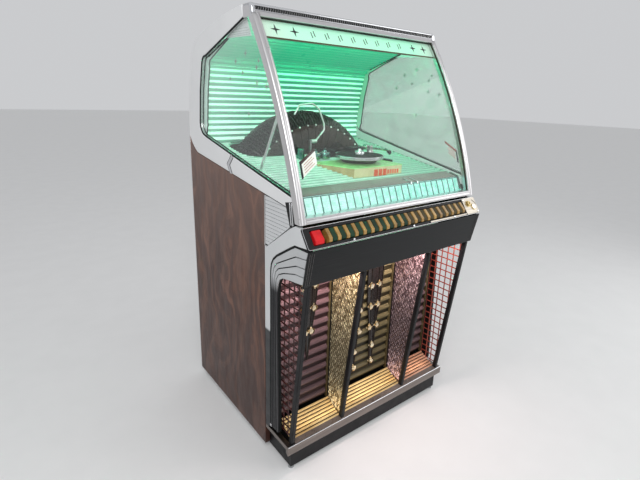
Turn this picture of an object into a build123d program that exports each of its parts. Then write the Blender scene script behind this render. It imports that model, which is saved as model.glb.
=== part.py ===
"""A floor-standing record player cabinet with a curved glass lid over a visible record changer.

Millimetres. +Z is up, the front faces -Y, and the origin is on the floor under the middle of the
cabinet. Side views are drawn in (y, z) on the YZ plane and pulled along X.
"""
import os
from math import cos, radians, sin, sqrt

from build123d import *

os.makedirs("parts", exist_ok=True)

# ---- driving dimensions ---------------------------------------------------------------------
HALF_W = 390            # half the cabinet's width
FRONT_Y = -392          # front edge of the keyboard
BACK_Y = 392            # back of the side panels
TOP_Z = 1438            # highest point of the hood roof
GAP = 0.4               # gap between neighbouring pieces

PANEL_T = 19            # wood side panels
INNER_W = HALF_W - PANEL_T - 1
CASTING_T = 17          # side castings and hood side frames
PANEL_FRONT_Y = -165    # where the wood ends and the side casting begins
PANEL_BOTTOM_Z = 20
WAIST_SLOPE = 0.132     # slope of the line between wood and hood
WAIST_Z = 916           # height of that line at the front edge of the wood

LID_TOP = (-88, 1437)   # the lid's front curve passes through these three points
LID_MID = (-246, 1161)
LID_FOOT = (-350, 862)
RAIL_DEPTH = 22
RAIL_W = 22
LID_BOTTOM_Z = 864
HINGE_Y, HINGE_Z = -67, 1425
HINGE_R = 5
HINGE_X = 300
RUNNING = 0.05          # radial clearance of every pin and shaft

SLOPE_MID = (-371.5, 831)      # middle of the sloping keyboard face
SLOPE_TILT = 54.6              # its outward normal leans back from +Z by this angle, degrees
TRAY_L, TRAY_W = 776, 64

PANEL_TOP_Z, PANEL_LOW_Z = 801, 690          # black front panel
PANEL_LOW_Y = -369
SILL_Z = 106                                 # top of the bright sill under the grille
GRILLE_FOOT_Y = -298
BAY_X = 154                                  # the fins stand here
BAY_BACK_Y = -213
FLOOR_Z = 92

DECK_SLOPE = 0.16
DECK_FRONT = (-290, 924)
DECK_T = 4

WHEEL_X, WHEEL_Y, WHEEL_Z = -10, 188, 795    # record magazine axis (along Y)
RECORD_R = 87.5
RECORD_RING_R = 261
RECORD_COUNT = 50

PLATTER_X, PLATTER_Y, PLATTER_Z = 46, -94, 1000
PLATTER_R = 87.5


def save(builder, name):
    """Label a finished piece and write it."""
    builder.part.label = name
    export_step(builder.part, f"parts/{name}.step")


def outline(*points):
    """A face bounded by straight runs, in the current sketch."""
    Polygon(*points, align=None)


def waist_z(y):
    return WAIST_Z + WAIST_SLOPE * (y - PANEL_FRONT_Y)


def deck_z(y):
    return DECK_FRONT[1] + DECK_SLOPE * (y - DECK_FRONT[0])


def circle_through(a, b, c):
    """Centre and radius of the circle through three points."""
    (ax, ay), (bx, by), (cx, cy) = a, b, c
    d = 2 * (ax * (by - cy) + bx * (cy - ay) + cx * (ay - by))
    ux = ((ax**2 + ay**2) * (by - cy) + (bx**2 + by**2) * (cy - ay) + (cx**2 + cy**2) * (ay - by)) / d
    uy = ((ax**2 + ay**2) * (cx - bx) + (bx**2 + by**2) * (ax - cx) + (cx**2 + cy**2) * (bx - ax)) / d
    return ux, uy, sqrt((ax - ux) ** 2 + (ay - uy) ** 2)


LID_CY, LID_CZ, LID_R = circle_through(LID_TOP, LID_MID, LID_FOOT)


def lid_y(z, inset=0.0):
    """y of the lid's front curve at height z, moved inwards by inset."""
    return LID_CY - sqrt((LID_R - inset) ** 2 - (z - LID_CZ) ** 2)


def lid_arc(z0, z1, inset=0.0):
    """The lid's front curve from height z0 to z1, drawn in the current line."""
    zm = (z0 + z1) / 2
    ThreePointArc((lid_y(z0, inset), z0), (lid_y(zm, inset), zm), (lid_y(z1, inset), z1))


def side_plane(side, inner_x):
    """A side-view plane at x = side * inner_x that extrudes outwards for either side."""
    return Plane.YZ.offset(side * inner_x)


# ---- plinth, sill and glides ----------------------------------------------------------------
PLINTH_HALF = 369
PLINTH_FRONT_Y = -292
PLINTH_BACK_Y = 380
PLINTH_WALL = 18
GLIDE_H = 12

with BuildPart() as base_plinth:
    with BuildSketch(Plane.XY.offset(GLIDE_H)):
        with Locations((0, (PLINTH_FRONT_Y + PLINTH_BACK_Y) / 2)):
            Rectangle(2 * PLINTH_HALF, PLINTH_BACK_Y - PLINTH_FRONT_Y)
    extrude(amount=FLOOR_Z - GLIDE_H)
    with BuildSketch(Plane.XY.offset(GLIDE_H)):
        with Locations((0, (PLINTH_FRONT_Y + PLINTH_BACK_Y) / 2)):
            Rectangle(2 * (PLINTH_HALF - PLINTH_WALL), PLINTH_BACK_Y - PLINTH_FRONT_Y - 2 * PLINTH_WALL)
    extrude(amount=FLOOR_Z - GLIDE_H - 12, mode=Mode.SUBTRACT)
save(base_plinth, "base_plinth")

with BuildPart() as glides:
    with Locations(*[(x, y, GLIDE_H / 2) for x in (-359, 359) for y in (-280, 368)]):
        Cylinder(10, GLIDE_H)
save(glides, "glides")

SILL_FRONT_Y = -306
SILL_HALF = 389
with BuildPart() as base_sill:
    with BuildSketch(Plane.XY.offset(FLOOR_Z + GAP)):
        outline((-SILL_HALF, PANEL_FRONT_Y - 1), (-SILL_HALF, SILL_FRONT_Y), (SILL_HALF, SILL_FRONT_Y),
                (SILL_HALF, PANEL_FRONT_Y - 1), (371, PANEL_FRONT_Y - 1), (371, -288), (-371, -288),
                (-371, PANEL_FRONT_Y - 1))
    extrude(amount=SILL_Z - FLOOR_Z - GAP)
    with BuildSketch(Plane.YZ.offset(-SILL_HALF)):
        outline((SILL_FRONT_Y, FLOOR_Z - 20), (SILL_FRONT_Y, FLOOR_Z + 2),
                (PLINTH_FRONT_Y - GAP, FLOOR_Z + 2), (PLINTH_FRONT_Y - GAP, FLOOR_Z - 12))
    extrude(amount=2 * SILL_HALF)
    fillet(base_sill.edges().filter_by(Axis.X).group_by(Axis.Y)[0], 3)
save(base_sill, "base_sill")


# ---- wood side panels -----------------------------------------------------------------------
SHOULDER = (321, waist_z(321))
SHOULDER_MID = (362, 1004)
SHOULDER_END = (BACK_Y, 1040)


def wood_panel(side, name):
    with BuildPart() as panel:
        with BuildSketch(side_plane(side, INNER_W + 1)):
            with BuildLine():
                Polyline((BACK_Y, SHOULDER_END[1]), (BACK_Y, PANEL_BOTTOM_Z),
                         (PANEL_FRONT_Y, PANEL_BOTTOM_Z), (PANEL_FRONT_Y, WAIST_Z), SHOULDER)
                ThreePointArc(SHOULDER, SHOULDER_MID, SHOULDER_END)
            make_face()
        extrude(amount=side * PANEL_T)
    save(panel, name)


wood_panel(-1, "wood_panel_left")
wood_panel(1, "wood_panel_right")


# ---- grey side castings ---------------------------------------------------------------------
CASTING_WINDOW_REAR = ((-240, 668), (-256, SILL_Z + 14))


def front_panel_back_y(z):
    """y of the front panel's back face at height z."""
    return PANEL_LOW_Y + (FRONT_Y - PANEL_LOW_Y) * (z - PANEL_LOW_Z) / (PANEL_TOP_Z - PANEL_LOW_Z) + 6.5


def grille_y(z):
    """y of the grille bars' front face at height z."""
    return GRILLE_FOOT_Y + (PANEL_LOW_Y + 2 - GRILLE_FOOT_Y) * (z - SILL_Z) / (PANEL_LOW_Z - SILL_Z)


def side_casting(side, name):
    with BuildPart() as casting:
        with BuildSketch(side_plane(side, HALF_W - CASTING_T)):
            outline((PANEL_FRONT_Y - 1, WAIST_Z - 1), (-316, waist_z(-316) - 1), (-326, 859), (-345, 857),
                    (-378.5, 810), (front_panel_back_y(800), 800), (front_panel_back_y(690), 690),
                    (-365, 672), CASTING_WINDOW_REAR[0], CASTING_WINDOW_REAR[1],
                    (grille_y(120) + 15, SILL_Z + 14), (grille_y(108) + 15, SILL_Z + 1),
                    (PANEL_FRONT_Y - 1, SILL_Z + 1))
        extrude(amount=side * CASTING_T)
    save(casting, name)


side_casting(-1, "side_casting_left")
side_casting(1, "side_casting_right")


# ---- hood: side frames, glasses, roof -------------------------------------------------------
HOOD_FRONT_Y = -45
ROOF_A = ((BACK_Y, 1100), (374, 1212), (342, 1322))
ROOF_B = ((342, 1322), (313, 1358), (262, 1384))
ROOF_C = ((262, 1384), (112, 1419), (HOOD_FRONT_Y, TOP_Z))
WINDOW_FRONT_TOP = (HOOD_FRONT_Y - 5, 1405)
WINDOW_FRONT_LOW = (-306, 932)


def window_back_edge():
    """The window's top, back and bottom edges, from its top front corner to its lower front one."""
    Polyline(WINDOW_FRONT_TOP, (79, 1364), (222, 1318))
    ThreePointArc((222, 1318), (247, 1310), (257, 1294))
    Polyline((257, 1294), (280, 1205), (294, 1093))
    ThreePointArc((294, 1093), (288, 1072), (268, 1052))
    Line((268, 1052), (240, 1044))
    Polyline((240, 1044), (-82, 977), WINDOW_FRONT_LOW)


def hood_side(side, name):
    with BuildPart() as frame:
        with BuildSketch(side_plane(side, HALF_W - CASTING_T)):
            with BuildLine():
                ThreePointArc(*ROOF_A)
                ThreePointArc(*ROOF_B)
                ThreePointArc(*ROOF_C)
                Line(ROOF_C[2], WINDOW_FRONT_TOP)
                window_back_edge()
                Polyline(WINDOW_FRONT_LOW, (-316, waist_z(-316) + 1), (321, waist_z(321) + 1))
                ThreePointArc((321, waist_z(321) + 1), (361, 1005), (BACK_Y, 1041.5))
                Line((BACK_Y, 1041.5), ROOF_A[0])
            make_face()
        extrude(amount=side * CASTING_T)
    save(frame, name)


hood_side(-1, "hood_side_left")
hood_side(1, "hood_side_right")

SIDE_GLASS_T = 4
with BuildPart() as side_glasses:
    with BuildSketch(Plane.YZ.offset(378)):
        with BuildLine():
            window_back_edge()
            Line(WINDOW_FRONT_LOW, (lid_y(936, RAIL_DEPTH + 2), 936))
            lid_arc(936, 1392, RAIL_DEPTH + 2)
            Polyline((lid_y(1392, RAIL_DEPTH + 2), 1392), (-53, 1398), WINDOW_FRONT_TOP)
        make_face()
        offset(amount=-GAP, mode=Mode.REPLACE)
    extrude(amount=SIDE_GLASS_T)
    mirror(about=Plane.YZ)
save(side_glasses, "side_glasses")

ROOF_T = 4
ROOF_HALF = HALF_W - CASTING_T - GAP
EAR_T = 8.4
with BuildPart() as hood_roof:
    with BuildSketch(Plane.YZ.offset(-ROOF_HALF)):
        with BuildLine():
            Line((BACK_Y, 1046), ROOF_A[0])
            ThreePointArc(*ROOF_A)
            ThreePointArc(*ROOF_B)
            ThreePointArc(*ROOF_C)
            Line(ROOF_C[2], (HOOD_FRONT_Y, TOP_Z - ROOF_T))
            ThreePointArc((HOOD_FRONT_Y, TOP_Z - ROOF_T), (111, 1415), (260.5, 1380))
            ThreePointArc((260.5, 1380), (310, 1354.5), (338.2, 1320))
            ThreePointArc((338.2, 1320), (370, 1211), (BACK_Y - ROOF_T, 1100))
            Line((BACK_Y - ROOF_T, 1100), (BACK_Y - ROOF_T, 1046))
            Line((BACK_Y - ROOF_T, 1046), (BACK_Y, 1046))
        make_face()
    extrude(amount=2 * ROOF_HALF)
    for ear_x in (-HINGE_X, HINGE_X):
        with BuildSketch(Plane.YZ.offset(ear_x - EAR_T / 2)):
            outline((HINGE_Y, HINGE_Z + 6), (HINGE_Y, HINGE_Z - 9), (-20, HINGE_Z - 12), (-20, 1432),
                    (-44, 1434))
            with Locations((HINGE_Y, HINGE_Z)):
                Circle(9)
                Circle(HINGE_R + RUNNING, mode=Mode.SUBTRACT)
        extrude(amount=EAR_T)
save(hood_roof, "hood_roof")

# ---- ribbed reflector behind and above the mechanism ----------------------------------------
REFLECTOR_LINE = [(289, 1022), (290, 1093), (276, 1205), (252, 1292), (219, 1321), (77, 1368), (-38, 1404)]
REFLECTOR_BACK = [(-38, 1408), (78, 1372), (222, 1325), (256, 1294), (280, 1206), (294, 1093), (293, 1022)]
REFLECTOR_HALF = 371
with BuildPart() as reflector:
    with BuildSketch(Plane.YZ.offset(-REFLECTOR_HALF)):
        outline(*REFLECTOR_LINE, *REFLECTOR_BACK)
    extrude(amount=2 * REFLECTOR_HALF)
save(reflector, "reflector")

# ---- back panel with vents and a gland for the mains lead -----------------------------------
REAR_Y = 378
REAR_PANEL_T, REAR_PANEL_TOP_Z = 10, 1040
GLAND = (-280, 150)           # power inlet gland, in X and Z
GLAND_R, GLAND_BORE_R, GLAND_LEN, GLAND_INNER = 11.6, 5, 18, 4
VENT_ROWS = (320, 860)
with BuildPart() as rear_panel:
    with BuildSketch(Plane.XZ.offset(-REAR_Y - REAR_PANEL_T)):
        with Locations((0, (FLOOR_Z + REAR_PANEL_TOP_Z) / 2)):
            Rectangle(2 * INNER_W - 1, REAR_PANEL_TOP_Z - FLOOR_Z - 2)
        with Locations(*[(0, vent_z) for vent_z in VENT_ROWS]):
            with GridLocations(52, 26, 9, 6):
                SlotOverall(40, 8, mode=Mode.SUBTRACT)
        with Locations(GLAND):
            Circle(GLAND_R + 0.4, mode=Mode.SUBTRACT)
    extrude(amount=REAR_PANEL_T)
    with BuildSketch(Plane(origin=(GLAND[0], REAR_Y - GLAND_INNER, GLAND[1]), z_dir=(0, 1, 0))):
        Circle(GLAND_R)
        Circle(GLAND_BORE_R, mode=Mode.SUBTRACT)
    extrude(amount=GLAND_LEN)
save(rear_panel, "rear_panel")

# ---- black front panel under the keyboard ---------------------------------------------------
FRONT_HALF, FRONT_T = 388, 6
with BuildPart() as front_panel:
    with BuildSketch(Plane.YZ.offset(-FRONT_HALF)):
        outline((FRONT_Y, PANEL_TOP_Z), (PANEL_LOW_Y, PANEL_LOW_Z), (PANEL_LOW_Y + FRONT_T, PANEL_LOW_Z),
                (FRONT_Y + FRONT_T, PANEL_TOP_Z))
    extrude(amount=2 * FRONT_HALF)
save(front_panel, "front_panel")

# ---- sloping keyboard tray ------------------------------------------------------------------
SLOPE_NORMAL = (0, -sin(radians(SLOPE_TILT)), cos(radians(SLOPE_TILT)))
SLOPE = Plane(origin=(0, *SLOPE_MID), x_dir=(1, 0, 0), z_dir=SLOPE_NORMAL)
TRAY_T = 5
PAN_DEPTH = 24
KEY_ROW = (-366, 308)          # the keys' opening, along X
KEY_SLOT_HALF = 22             # and half its width up the slope
PLATE_X0, PLATE_X1 = 313, 385
LOCK_X, LOCK_V = 362, -6
COIN_X, COIN_V = 338, 8
LOCK_R = 9

with BuildPart() as keyboard_tray:
    with BuildSketch(SLOPE.offset(-TRAY_T)):
        RectangleRounded(TRAY_L, TRAY_W, 6)
    extrude(amount=TRAY_T)
    with BuildSketch(SLOPE.offset(-PAN_DEPTH)):
        with Locations(((KEY_ROW[0] + KEY_ROW[1]) / 2, 0)):
            Rectangle(KEY_ROW[1] - KEY_ROW[0] + 4, 2 * KEY_SLOT_HALF + 4)
    extrude(amount=PAN_DEPTH - 1)
    with BuildSketch(SLOPE.offset(-PAN_DEPTH + 2)):
        with Locations(((KEY_ROW[0] + KEY_ROW[1]) / 2, 0)):
            Rectangle(KEY_ROW[1] - KEY_ROW[0], 2 * KEY_SLOT_HALF)
    extrude(amount=PAN_DEPTH, mode=Mode.SUBTRACT)
    with BuildSketch(SLOPE.offset(-TRAY_T)):
        with Locations(((PLATE_X0 + PLATE_X1) / 2, 0)):
            Rectangle(PLATE_X1 - PLATE_X0 - 10, 44)
    extrude(amount=TRAY_T, mode=Mode.SUBTRACT)
save(keyboard_tray, "keyboard_tray")

with BuildPart() as control_plate:
    with BuildSketch(SLOPE.offset(GAP)):
        with Locations(((PLATE_X0 + PLATE_X1) / 2, 0)):
            RectangleRounded(PLATE_X1 - PLATE_X0, 60, 5)
        with Locations((LOCK_X, LOCK_V)):
            Circle(LOCK_R + RUNNING, mode=Mode.SUBTRACT)
        with Locations(Location((376, 12), -50)):
            SlotOverall(24, 3.2, mode=Mode.SUBTRACT)
    extrude(amount=3)
    with BuildSketch(SLOPE.offset(GAP + 2)):
        with Locations((COIN_X, COIN_V)):
            RegularPolygon(9, 6)
    extrude(amount=6)
save(control_plate, "control_plate")

with BuildPart() as lock_cylinder:
    with BuildSketch(SLOPE.offset(-20)):
        with Locations((LOCK_X, LOCK_V)):
            Circle(LOCK_R)
    extrude(amount=27)
    with BuildSketch(SLOPE.offset(3)):
        with Locations((LOCK_X, LOCK_V)):
            Rectangle(2, 10)
    extrude(amount=6, mode=Mode.SUBTRACT)
save(lock_cylinder, "lock_cylinder")

# ---- keys: one wide reset key and twenty selection keys -------------------------------------
KEY_COUNT = 20
KEY_FIRST_X, KEY_LAST_X = -309, 298
KEY_PITCH = (KEY_LAST_X - KEY_FIRST_X) / (KEY_COUNT - 1)
KEY_W = 15
KEY_HALF = 20
KEY_FOOT = -16
KEY_RISE = 9


def key(x, width, name):
    """A tongue that lies up the slope and turns down at its front end."""
    with BuildPart() as tongue:
        with BuildSketch(Plane(origin=(x - width / 2, *SLOPE_MID), x_dir=(0, cos(radians(SLOPE_TILT)),
                               sin(radians(SLOPE_TILT))), z_dir=(1, 0, 0))):
            outline((KEY_HALF, KEY_FOOT), (KEY_HALF, 3), (-KEY_HALF + 9, KEY_RISE),
                    (-KEY_HALF, KEY_RISE - 6), (-KEY_HALF, KEY_FOOT))
        extrude(amount=width)
        fillet(tongue.edges().filter_by(Axis.X).sort_by(Axis.Y)[0:2], 2)
    save(tongue, name)


key(-346, 30, "key_reset")
for index in range(KEY_COUNT):
    key(KEY_FIRST_X + index * KEY_PITCH, KEY_W, f"key_{index + 1:02d}")

# ---- grille: bars, fins, lattices, corrugated back and floor, V plates ----------------------
BAR_W, BAR_D = 14, 14
BAR_X = 365.5
BAR_LOW_Z, BAR_TOP_Z = SILL_Z + 1, PANEL_LOW_Z - 2
with BuildPart() as grille_bars:
    for bar_x in (-BAR_X, -BAY_X, BAY_X, BAR_X):
        with BuildSketch(Plane.YZ.offset(bar_x - BAR_W / 2)):
            outline((grille_y(BAR_TOP_Z), BAR_TOP_Z), (grille_y(BAR_LOW_Z), BAR_LOW_Z),
                    (grille_y(BAR_LOW_Z) + BAR_D, BAR_LOW_Z), (grille_y(BAR_TOP_Z) + BAR_D, BAR_TOP_Z))
        extrude(amount=BAR_W)
save(grille_bars, "grille_bars")

SHEET_T = 2
SHEET_LOW_Z, SHEET_TOP_Z = 122, 684


def bay_floor_z(y):
    return SILL_Z + 2 + (y - GRILLE_FOOT_Y) * 0.46


def bay_side_sheet():
    """The upright outline of a fin or lattice, from the bars to the back of the bays."""
    outline((grille_y(SHEET_TOP_Z) + BAR_D + 1, SHEET_TOP_Z),
            (grille_y(SHEET_LOW_Z) + BAR_D + 1, SHEET_LOW_Z),
            (BAY_BACK_Y - 2, bay_floor_z(BAY_BACK_Y) + 4), (BAY_BACK_Y - 2, SHEET_TOP_Z))


with BuildPart() as grille_fins:
    for fin_x in (-BAY_X, BAY_X):
        with BuildSketch(Plane.YZ.offset(fin_x - SHEET_T / 2)):
            bay_side_sheet()
            with Locations((-266, 420)):
                with GridLocations(20, 34, 3, 14):
                    SlotOverall(24, 10, rotation=90, mode=Mode.SUBTRACT)
        extrude(amount=SHEET_T)
save(grille_fins, "grille_fins")

LATTICE_X = 364
with BuildPart() as side_lattices:
    with BuildSketch(Plane.YZ.offset(LATTICE_X)):
        bay_side_sheet()
        with Locations((-262, 420)):
            with GridLocations(26, 26, 3, 18):
                Rectangle(20, 20, mode=Mode.SUBTRACT)
    extrude(amount=3)
    mirror(about=Plane.YZ)
save(side_lattices, "side_lattices")

RIB_PITCH = 17
RIB_D = 5


def corrugated(start, end, pitch, depth, thick):
    """A zigzag sheet between two points, its ribs standing out square to that line."""
    length = sqrt((end[0] - start[0]) ** 2 + (end[1] - start[1]) ** 2)
    along = ((end[0] - start[0]) / length, (end[1] - start[1]) / length)
    out = (along[1], -along[0])
    count = max(2, round(length / pitch))
    front = []
    for step in range(2 * count + 1):
        s = length * step / (2 * count)
        d = depth if step % 2 else 0
        front.append((start[0] + along[0] * s + out[0] * d, start[1] + along[1] * s + out[1] * d))
    back = [(y - out[0] * thick, z - out[1] * thick) for y, z in reversed(front)]
    outline(*front, *back)


BAYS = [(-362, -BAY_X - 2), (-BAY_X + 2, BAY_X - 2), (BAY_X + 2, 362)]
with BuildPart() as bay_panels:
    for bay_start, bay_end in BAYS:
        with BuildSketch(Plane.YZ.offset(bay_start)):
            corrugated((BAY_BACK_Y + 7, SHEET_TOP_Z + 2), (BAY_BACK_Y + 7, bay_floor_z(BAY_BACK_Y) + 2),
                       RIB_PITCH, RIB_D, 2)
        extrude(amount=bay_end - bay_start)
save(bay_panels, "bay_panels")

with BuildPart() as bay_floor:
    for bay_start, bay_end in BAYS:
        with BuildSketch(Plane.YZ.offset(bay_start)):
            corrugated((BAY_BACK_Y - 1, bay_floor_z(BAY_BACK_Y) - 5), (GRILLE_FOOT_Y + 17, SILL_Z + 3),
                       14, -4, 2)
        extrude(amount=bay_end - bay_start)
save(bay_floor, "bay_floor")

V_TOP_HALF, V_LOW_Z = 96, 240
with BuildPart() as ornament_plates:
    for plate_x in (-258, 0, 258):
        with BuildSketch(Plane.XZ.offset(-BAY_BACK_Y + 3)):
            outline((plate_x - V_TOP_HALF, SHEET_TOP_Z), (plate_x + V_TOP_HALF, SHEET_TOP_Z),
                    (plate_x + 6, V_LOW_Z), (plate_x - 6, V_LOW_Z))
        extrude(amount=SHEET_T)
save(ornament_plates, "ornament_plates")

# ---- inside the cabinet: speakers, amplifier, cash box, lamps --------------------------------
SPEAKER_Y = BAY_BACK_Y + 18


def speaker_solid(x, z, r):
    """A cone loudspeaker facing the bays: rim, basket and magnet."""
    with BuildPart() as cone:
        with BuildSketch(Plane.XY):
            outline((0, 0), (r * 0.55, 0.3 * r), (r * 0.9, 3), (r, 0), (r, 6), (r * 0.9, 10),
                    (r * 0.42, 0.62 * r), (r * 0.42, 0.9 * r), (0, 0.9 * r))
        revolve(axis=Axis.Y)
    return Pos(x, SPEAKER_Y, z) * cone.part


speaker_parts = [speaker_solid(0, 400, 150), speaker_solid(-262, 520, 82), speaker_solid(262, 520, 82)]
with BuildPart() as speakers:
    for cone_part in speaker_parts:
        add(cone_part)
save(speakers, "speakers")

with BuildPart() as amplifier:
    with Locations((-130, 130, FLOOR_Z + 26)):
        Box(320, 200, 50)
        Box(314, 194, 44, mode=Mode.SUBTRACT)
    with Locations((-220, 130, FLOOR_Z + 50 + 40), (-60, 180, FLOOR_Z + 50 + 32)):
        Box(80, 70, 80)
    with Locations(*[(-150 + 38 * n, 80, FLOOR_Z + 50 + 40) for n in range(4)]):
        Cylinder(14, 80)
save(amplifier, "amplifier")

with BuildPart() as cash_box:
    with Locations((265, 60, FLOOR_Z + 1 + 75)):
        Box(150, 200, 150)
    with Locations((265, 60, FLOOR_Z + 3 + 75)):
        Box(146, 196, 150, mode=Mode.SUBTRACT)
save(cash_box, "cash_box")

TUBE_R = 13
TUBES = [(-268, 888), (-58, 1372), (-318, 712)]
with BuildPart() as lamp_tubes:
    for tube_y, tube_z in TUBES:
        with BuildSketch(Plane.YZ.offset(-300)):
            with Locations((tube_y, tube_z)):
                Circle(TUBE_R)
        extrude(amount=600)
save(lamp_tubes, "lamp_tubes")

# ---- title strip rack -----------------------------------------------------------------------
RACK_HALF = 368
RACK_FOOT, RACK_HEAD = (-321, 866), (-296, 926)
RACK_BACK = (4.6, -1.9)
with BuildPart() as title_rack:
    with BuildSketch(Plane.YZ.offset(-RACK_HALF)):
        outline(RACK_FOOT, RACK_HEAD, (RACK_HEAD[0] + RACK_BACK[0], RACK_HEAD[1] + RACK_BACK[1]),
                (RACK_FOOT[0] + RACK_BACK[0], RACK_FOOT[1] + RACK_BACK[1]))
    extrude(amount=2 * RACK_HALF)
save(title_rack, "title_rack")

# ---- mechanism deck with the magazine's opening and bearing brackets -------------------------
DECK_HALF = 371
OPEN_HALF_X, OPEN_HALF_Y = 293, 97
OPEN_CORNER_R = 70
STAY_SLOT = (-364, -354, -122, -52)
SHAFT_R = 12
DECK_DEPTH = 578
DECK_PLANE = Plane(origin=(0, DECK_FRONT[0], DECK_FRONT[1]), x_dir=(1, 0, 0), z_dir=(0, -DECK_SLOPE, 1))
deck_run = sqrt(1 + DECK_SLOPE**2)
deck_len = DECK_DEPTH * deck_run
slot_x = (STAY_SLOT[0] + STAY_SLOT[1]) / 2
slot_v = ((STAY_SLOT[2] + STAY_SLOT[3]) / 2 - DECK_FRONT[0]) * deck_run
bracket_top_z = deck_z(82) - 2
with BuildPart() as mechanism_deck:
    with BuildSketch(DECK_PLANE.offset(-DECK_T)):
        with Locations((0, deck_len / 2)):
            Rectangle(2 * DECK_HALF, deck_len)
        with Locations((WHEEL_X, (WHEEL_Y - DECK_FRONT[0]) * deck_run)):
            RectangleRounded(2 * OPEN_HALF_X, 2 * OPEN_HALF_Y, OPEN_CORNER_R, mode=Mode.SUBTRACT)
        with Locations((slot_x, slot_v)):
            Rectangle(STAY_SLOT[1] - STAY_SLOT[0], STAY_SLOT[3] - STAY_SLOT[2], mode=Mode.SUBTRACT)
    extrude(amount=DECK_T)
    with BuildSketch(Plane.YZ.offset(-DECK_HALF)):
        outline((-290, 924), (-290, 898), (-286, 898), (-286, 921))
    extrude(amount=2 * DECK_HALF)
    with BuildSketch(Plane.XZ.offset(-82)):
        outline((WHEEL_X - 40, 770), (WHEEL_X + 40, 770), (WHEEL_X + 60, bracket_top_z),
                (WHEEL_X - 60, bracket_top_z))
        with Locations((WHEEL_X, WHEEL_Z)):
            Circle(SHAFT_R + RUNNING, mode=Mode.SUBTRACT)
    extrude(amount=6)
save(mechanism_deck, "mechanism_deck")

# ---- record magazine: a wheel of records about an axis along Y ------------------------------
FLANGE_R = 298
DRUM_R = 148
FLANGE_FRONT_Y = WHEEL_Y - RECORD_R - 4.5
FLANGE_BACK_Y = WHEEL_Y + RECORD_R + 1.5
with BuildPart() as magazine_wheel:
    with BuildSketch(Plane.XZ.offset(-FLANGE_FRONT_Y)):
        with Locations((WHEEL_X, WHEEL_Z)):
            Circle(FLANGE_R)
            with PolarLocations(FLANGE_R, RECORD_COUNT, start_angle=3.6):
                Circle(5)
            with PolarLocations(215, 6):
                Circle(42, mode=Mode.SUBTRACT)
    extrude(amount=-3)
    with BuildSketch(Plane.XZ.offset(-FLANGE_BACK_Y)):
        with Locations((WHEEL_X, WHEEL_Z)):
            Circle(FLANGE_R - 20)
    extrude(amount=-3)
    with BuildSketch(Plane.XZ.offset(-FLANGE_FRONT_Y)):
        with Locations((WHEEL_X, WHEEL_Z)):
            Circle(DRUM_R)
            Circle(DRUM_R - 3, mode=Mode.SUBTRACT)
    extrude(amount=-(FLANGE_BACK_Y - FLANGE_FRONT_Y))
    with BuildSketch(Plane.XZ.offset(-74)):
        with Locations((WHEEL_X, WHEEL_Z)):
            Circle(SHAFT_R)
    extrude(amount=-(FLANGE_BACK_Y - 74))
save(magazine_wheel, "magazine_wheel")

with BuildPart() as records:
    for n in range(RECORD_COUNT):
        angle = 360 * n / RECORD_COUNT
        reach = (sin(radians(angle)), 0, cos(radians(angle)))
        face = (cos(radians(angle)), 0, -sin(radians(angle)))
        centre = (WHEEL_X + RECORD_RING_R * reach[0] - face[0], WHEEL_Y,
                  WHEEL_Z + RECORD_RING_R * reach[2] - face[2])
        with BuildSketch(Plane(origin=centre, x_dir=(0, 1, 0), z_dir=face)):
            Circle(RECORD_R)
            Circle(19, mode=Mode.SUBTRACT)
        extrude(amount=2)
save(records, "records")

# ---- turntable base, motor, platter, tone arm, gripper --------------------------------------
BASE_TOP_Z = 972
SPINDLE_R = 6
ARM_X, ARM_Y = 158, -34
ARM_PIN_R = 5
STUD_H = 14
GRIP_X, GRIP_Y, GRIP_Z = -48, 62, 1036
GRIP_PIN_R = 3
with BuildPart() as turntable_base:
    with BuildSketch(Plane.XY.offset(915)):
        outline((-67, -197), (162, -197), (182, -16), (-119, -16))
    extrude(amount=BASE_TOP_Z - 915)
    split(bisect_by=DECK_PLANE.offset(GAP), keep=Keep.TOP)
    with BuildSketch(Plane.XY.offset(BASE_TOP_Z - 2)):
        with Locations((PLATTER_X, PLATTER_Y)):
            Circle(SPINDLE_R)
        with Locations((ARM_X, ARM_Y)):
            Circle(ARM_PIN_R)
    extrude(amount=STUD_H + 2)
    with BuildSketch(Plane.XY.offset(deck_z(GRIP_Y) + 6)):
        with Locations((GRIP_X - 12, GRIP_Y)):
            Rectangle(6, 12)
    extrude(amount=GRIP_Z + 6 - deck_z(GRIP_Y) - 6)
    with BuildSketch(Plane.XY.offset(deck_z(GRIP_Y) + 2)):
        with Locations((GRIP_X, GRIP_Y)):
            Rectangle(34, 14)
    extrude(amount=5)
    with BuildSketch(Plane.YZ.offset(GRIP_X - 12)):
        with Locations((GRIP_Y, GRIP_Z)):
            Circle(GRIP_PIN_R)
    extrude(amount=21)
    with BuildSketch(Plane.XY.offset(deck_z(34) + 2)):
        with Locations((-76, 8), (-28, 14)):
            Circle(19)
    extrude(amount=24)
save(turntable_base, "turntable_base")

with BuildPart() as platter:
    with BuildSketch(Plane.XY.offset(PLATTER_Z - 26)):
        with Locations((PLATTER_X, PLATTER_Y)):
            Circle(PLATTER_R)
    extrude(amount=23)
    with BuildSketch(Plane.XY.offset(PLATTER_Z - 4)):
        with Locations((PLATTER_X, PLATTER_Y)):
            Circle(PLATTER_R - 4)
    extrude(amount=4)
    with BuildSketch(Plane.XY.offset(PLATTER_Z - 1)):
        with Locations((PLATTER_X, PLATTER_Y)):
            Circle(19)
    extrude(amount=13)
    with BuildSketch(Plane.XY.offset(PLATTER_Z - 26)):
        with Locations((PLATTER_X, PLATTER_Y)):
            Circle(SPINDLE_R + RUNNING)
    extrude(amount=STUD_H + 26 + BASE_TOP_Z - PLATTER_Z + 1, mode=Mode.SUBTRACT)
save(platter, "platter")

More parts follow.
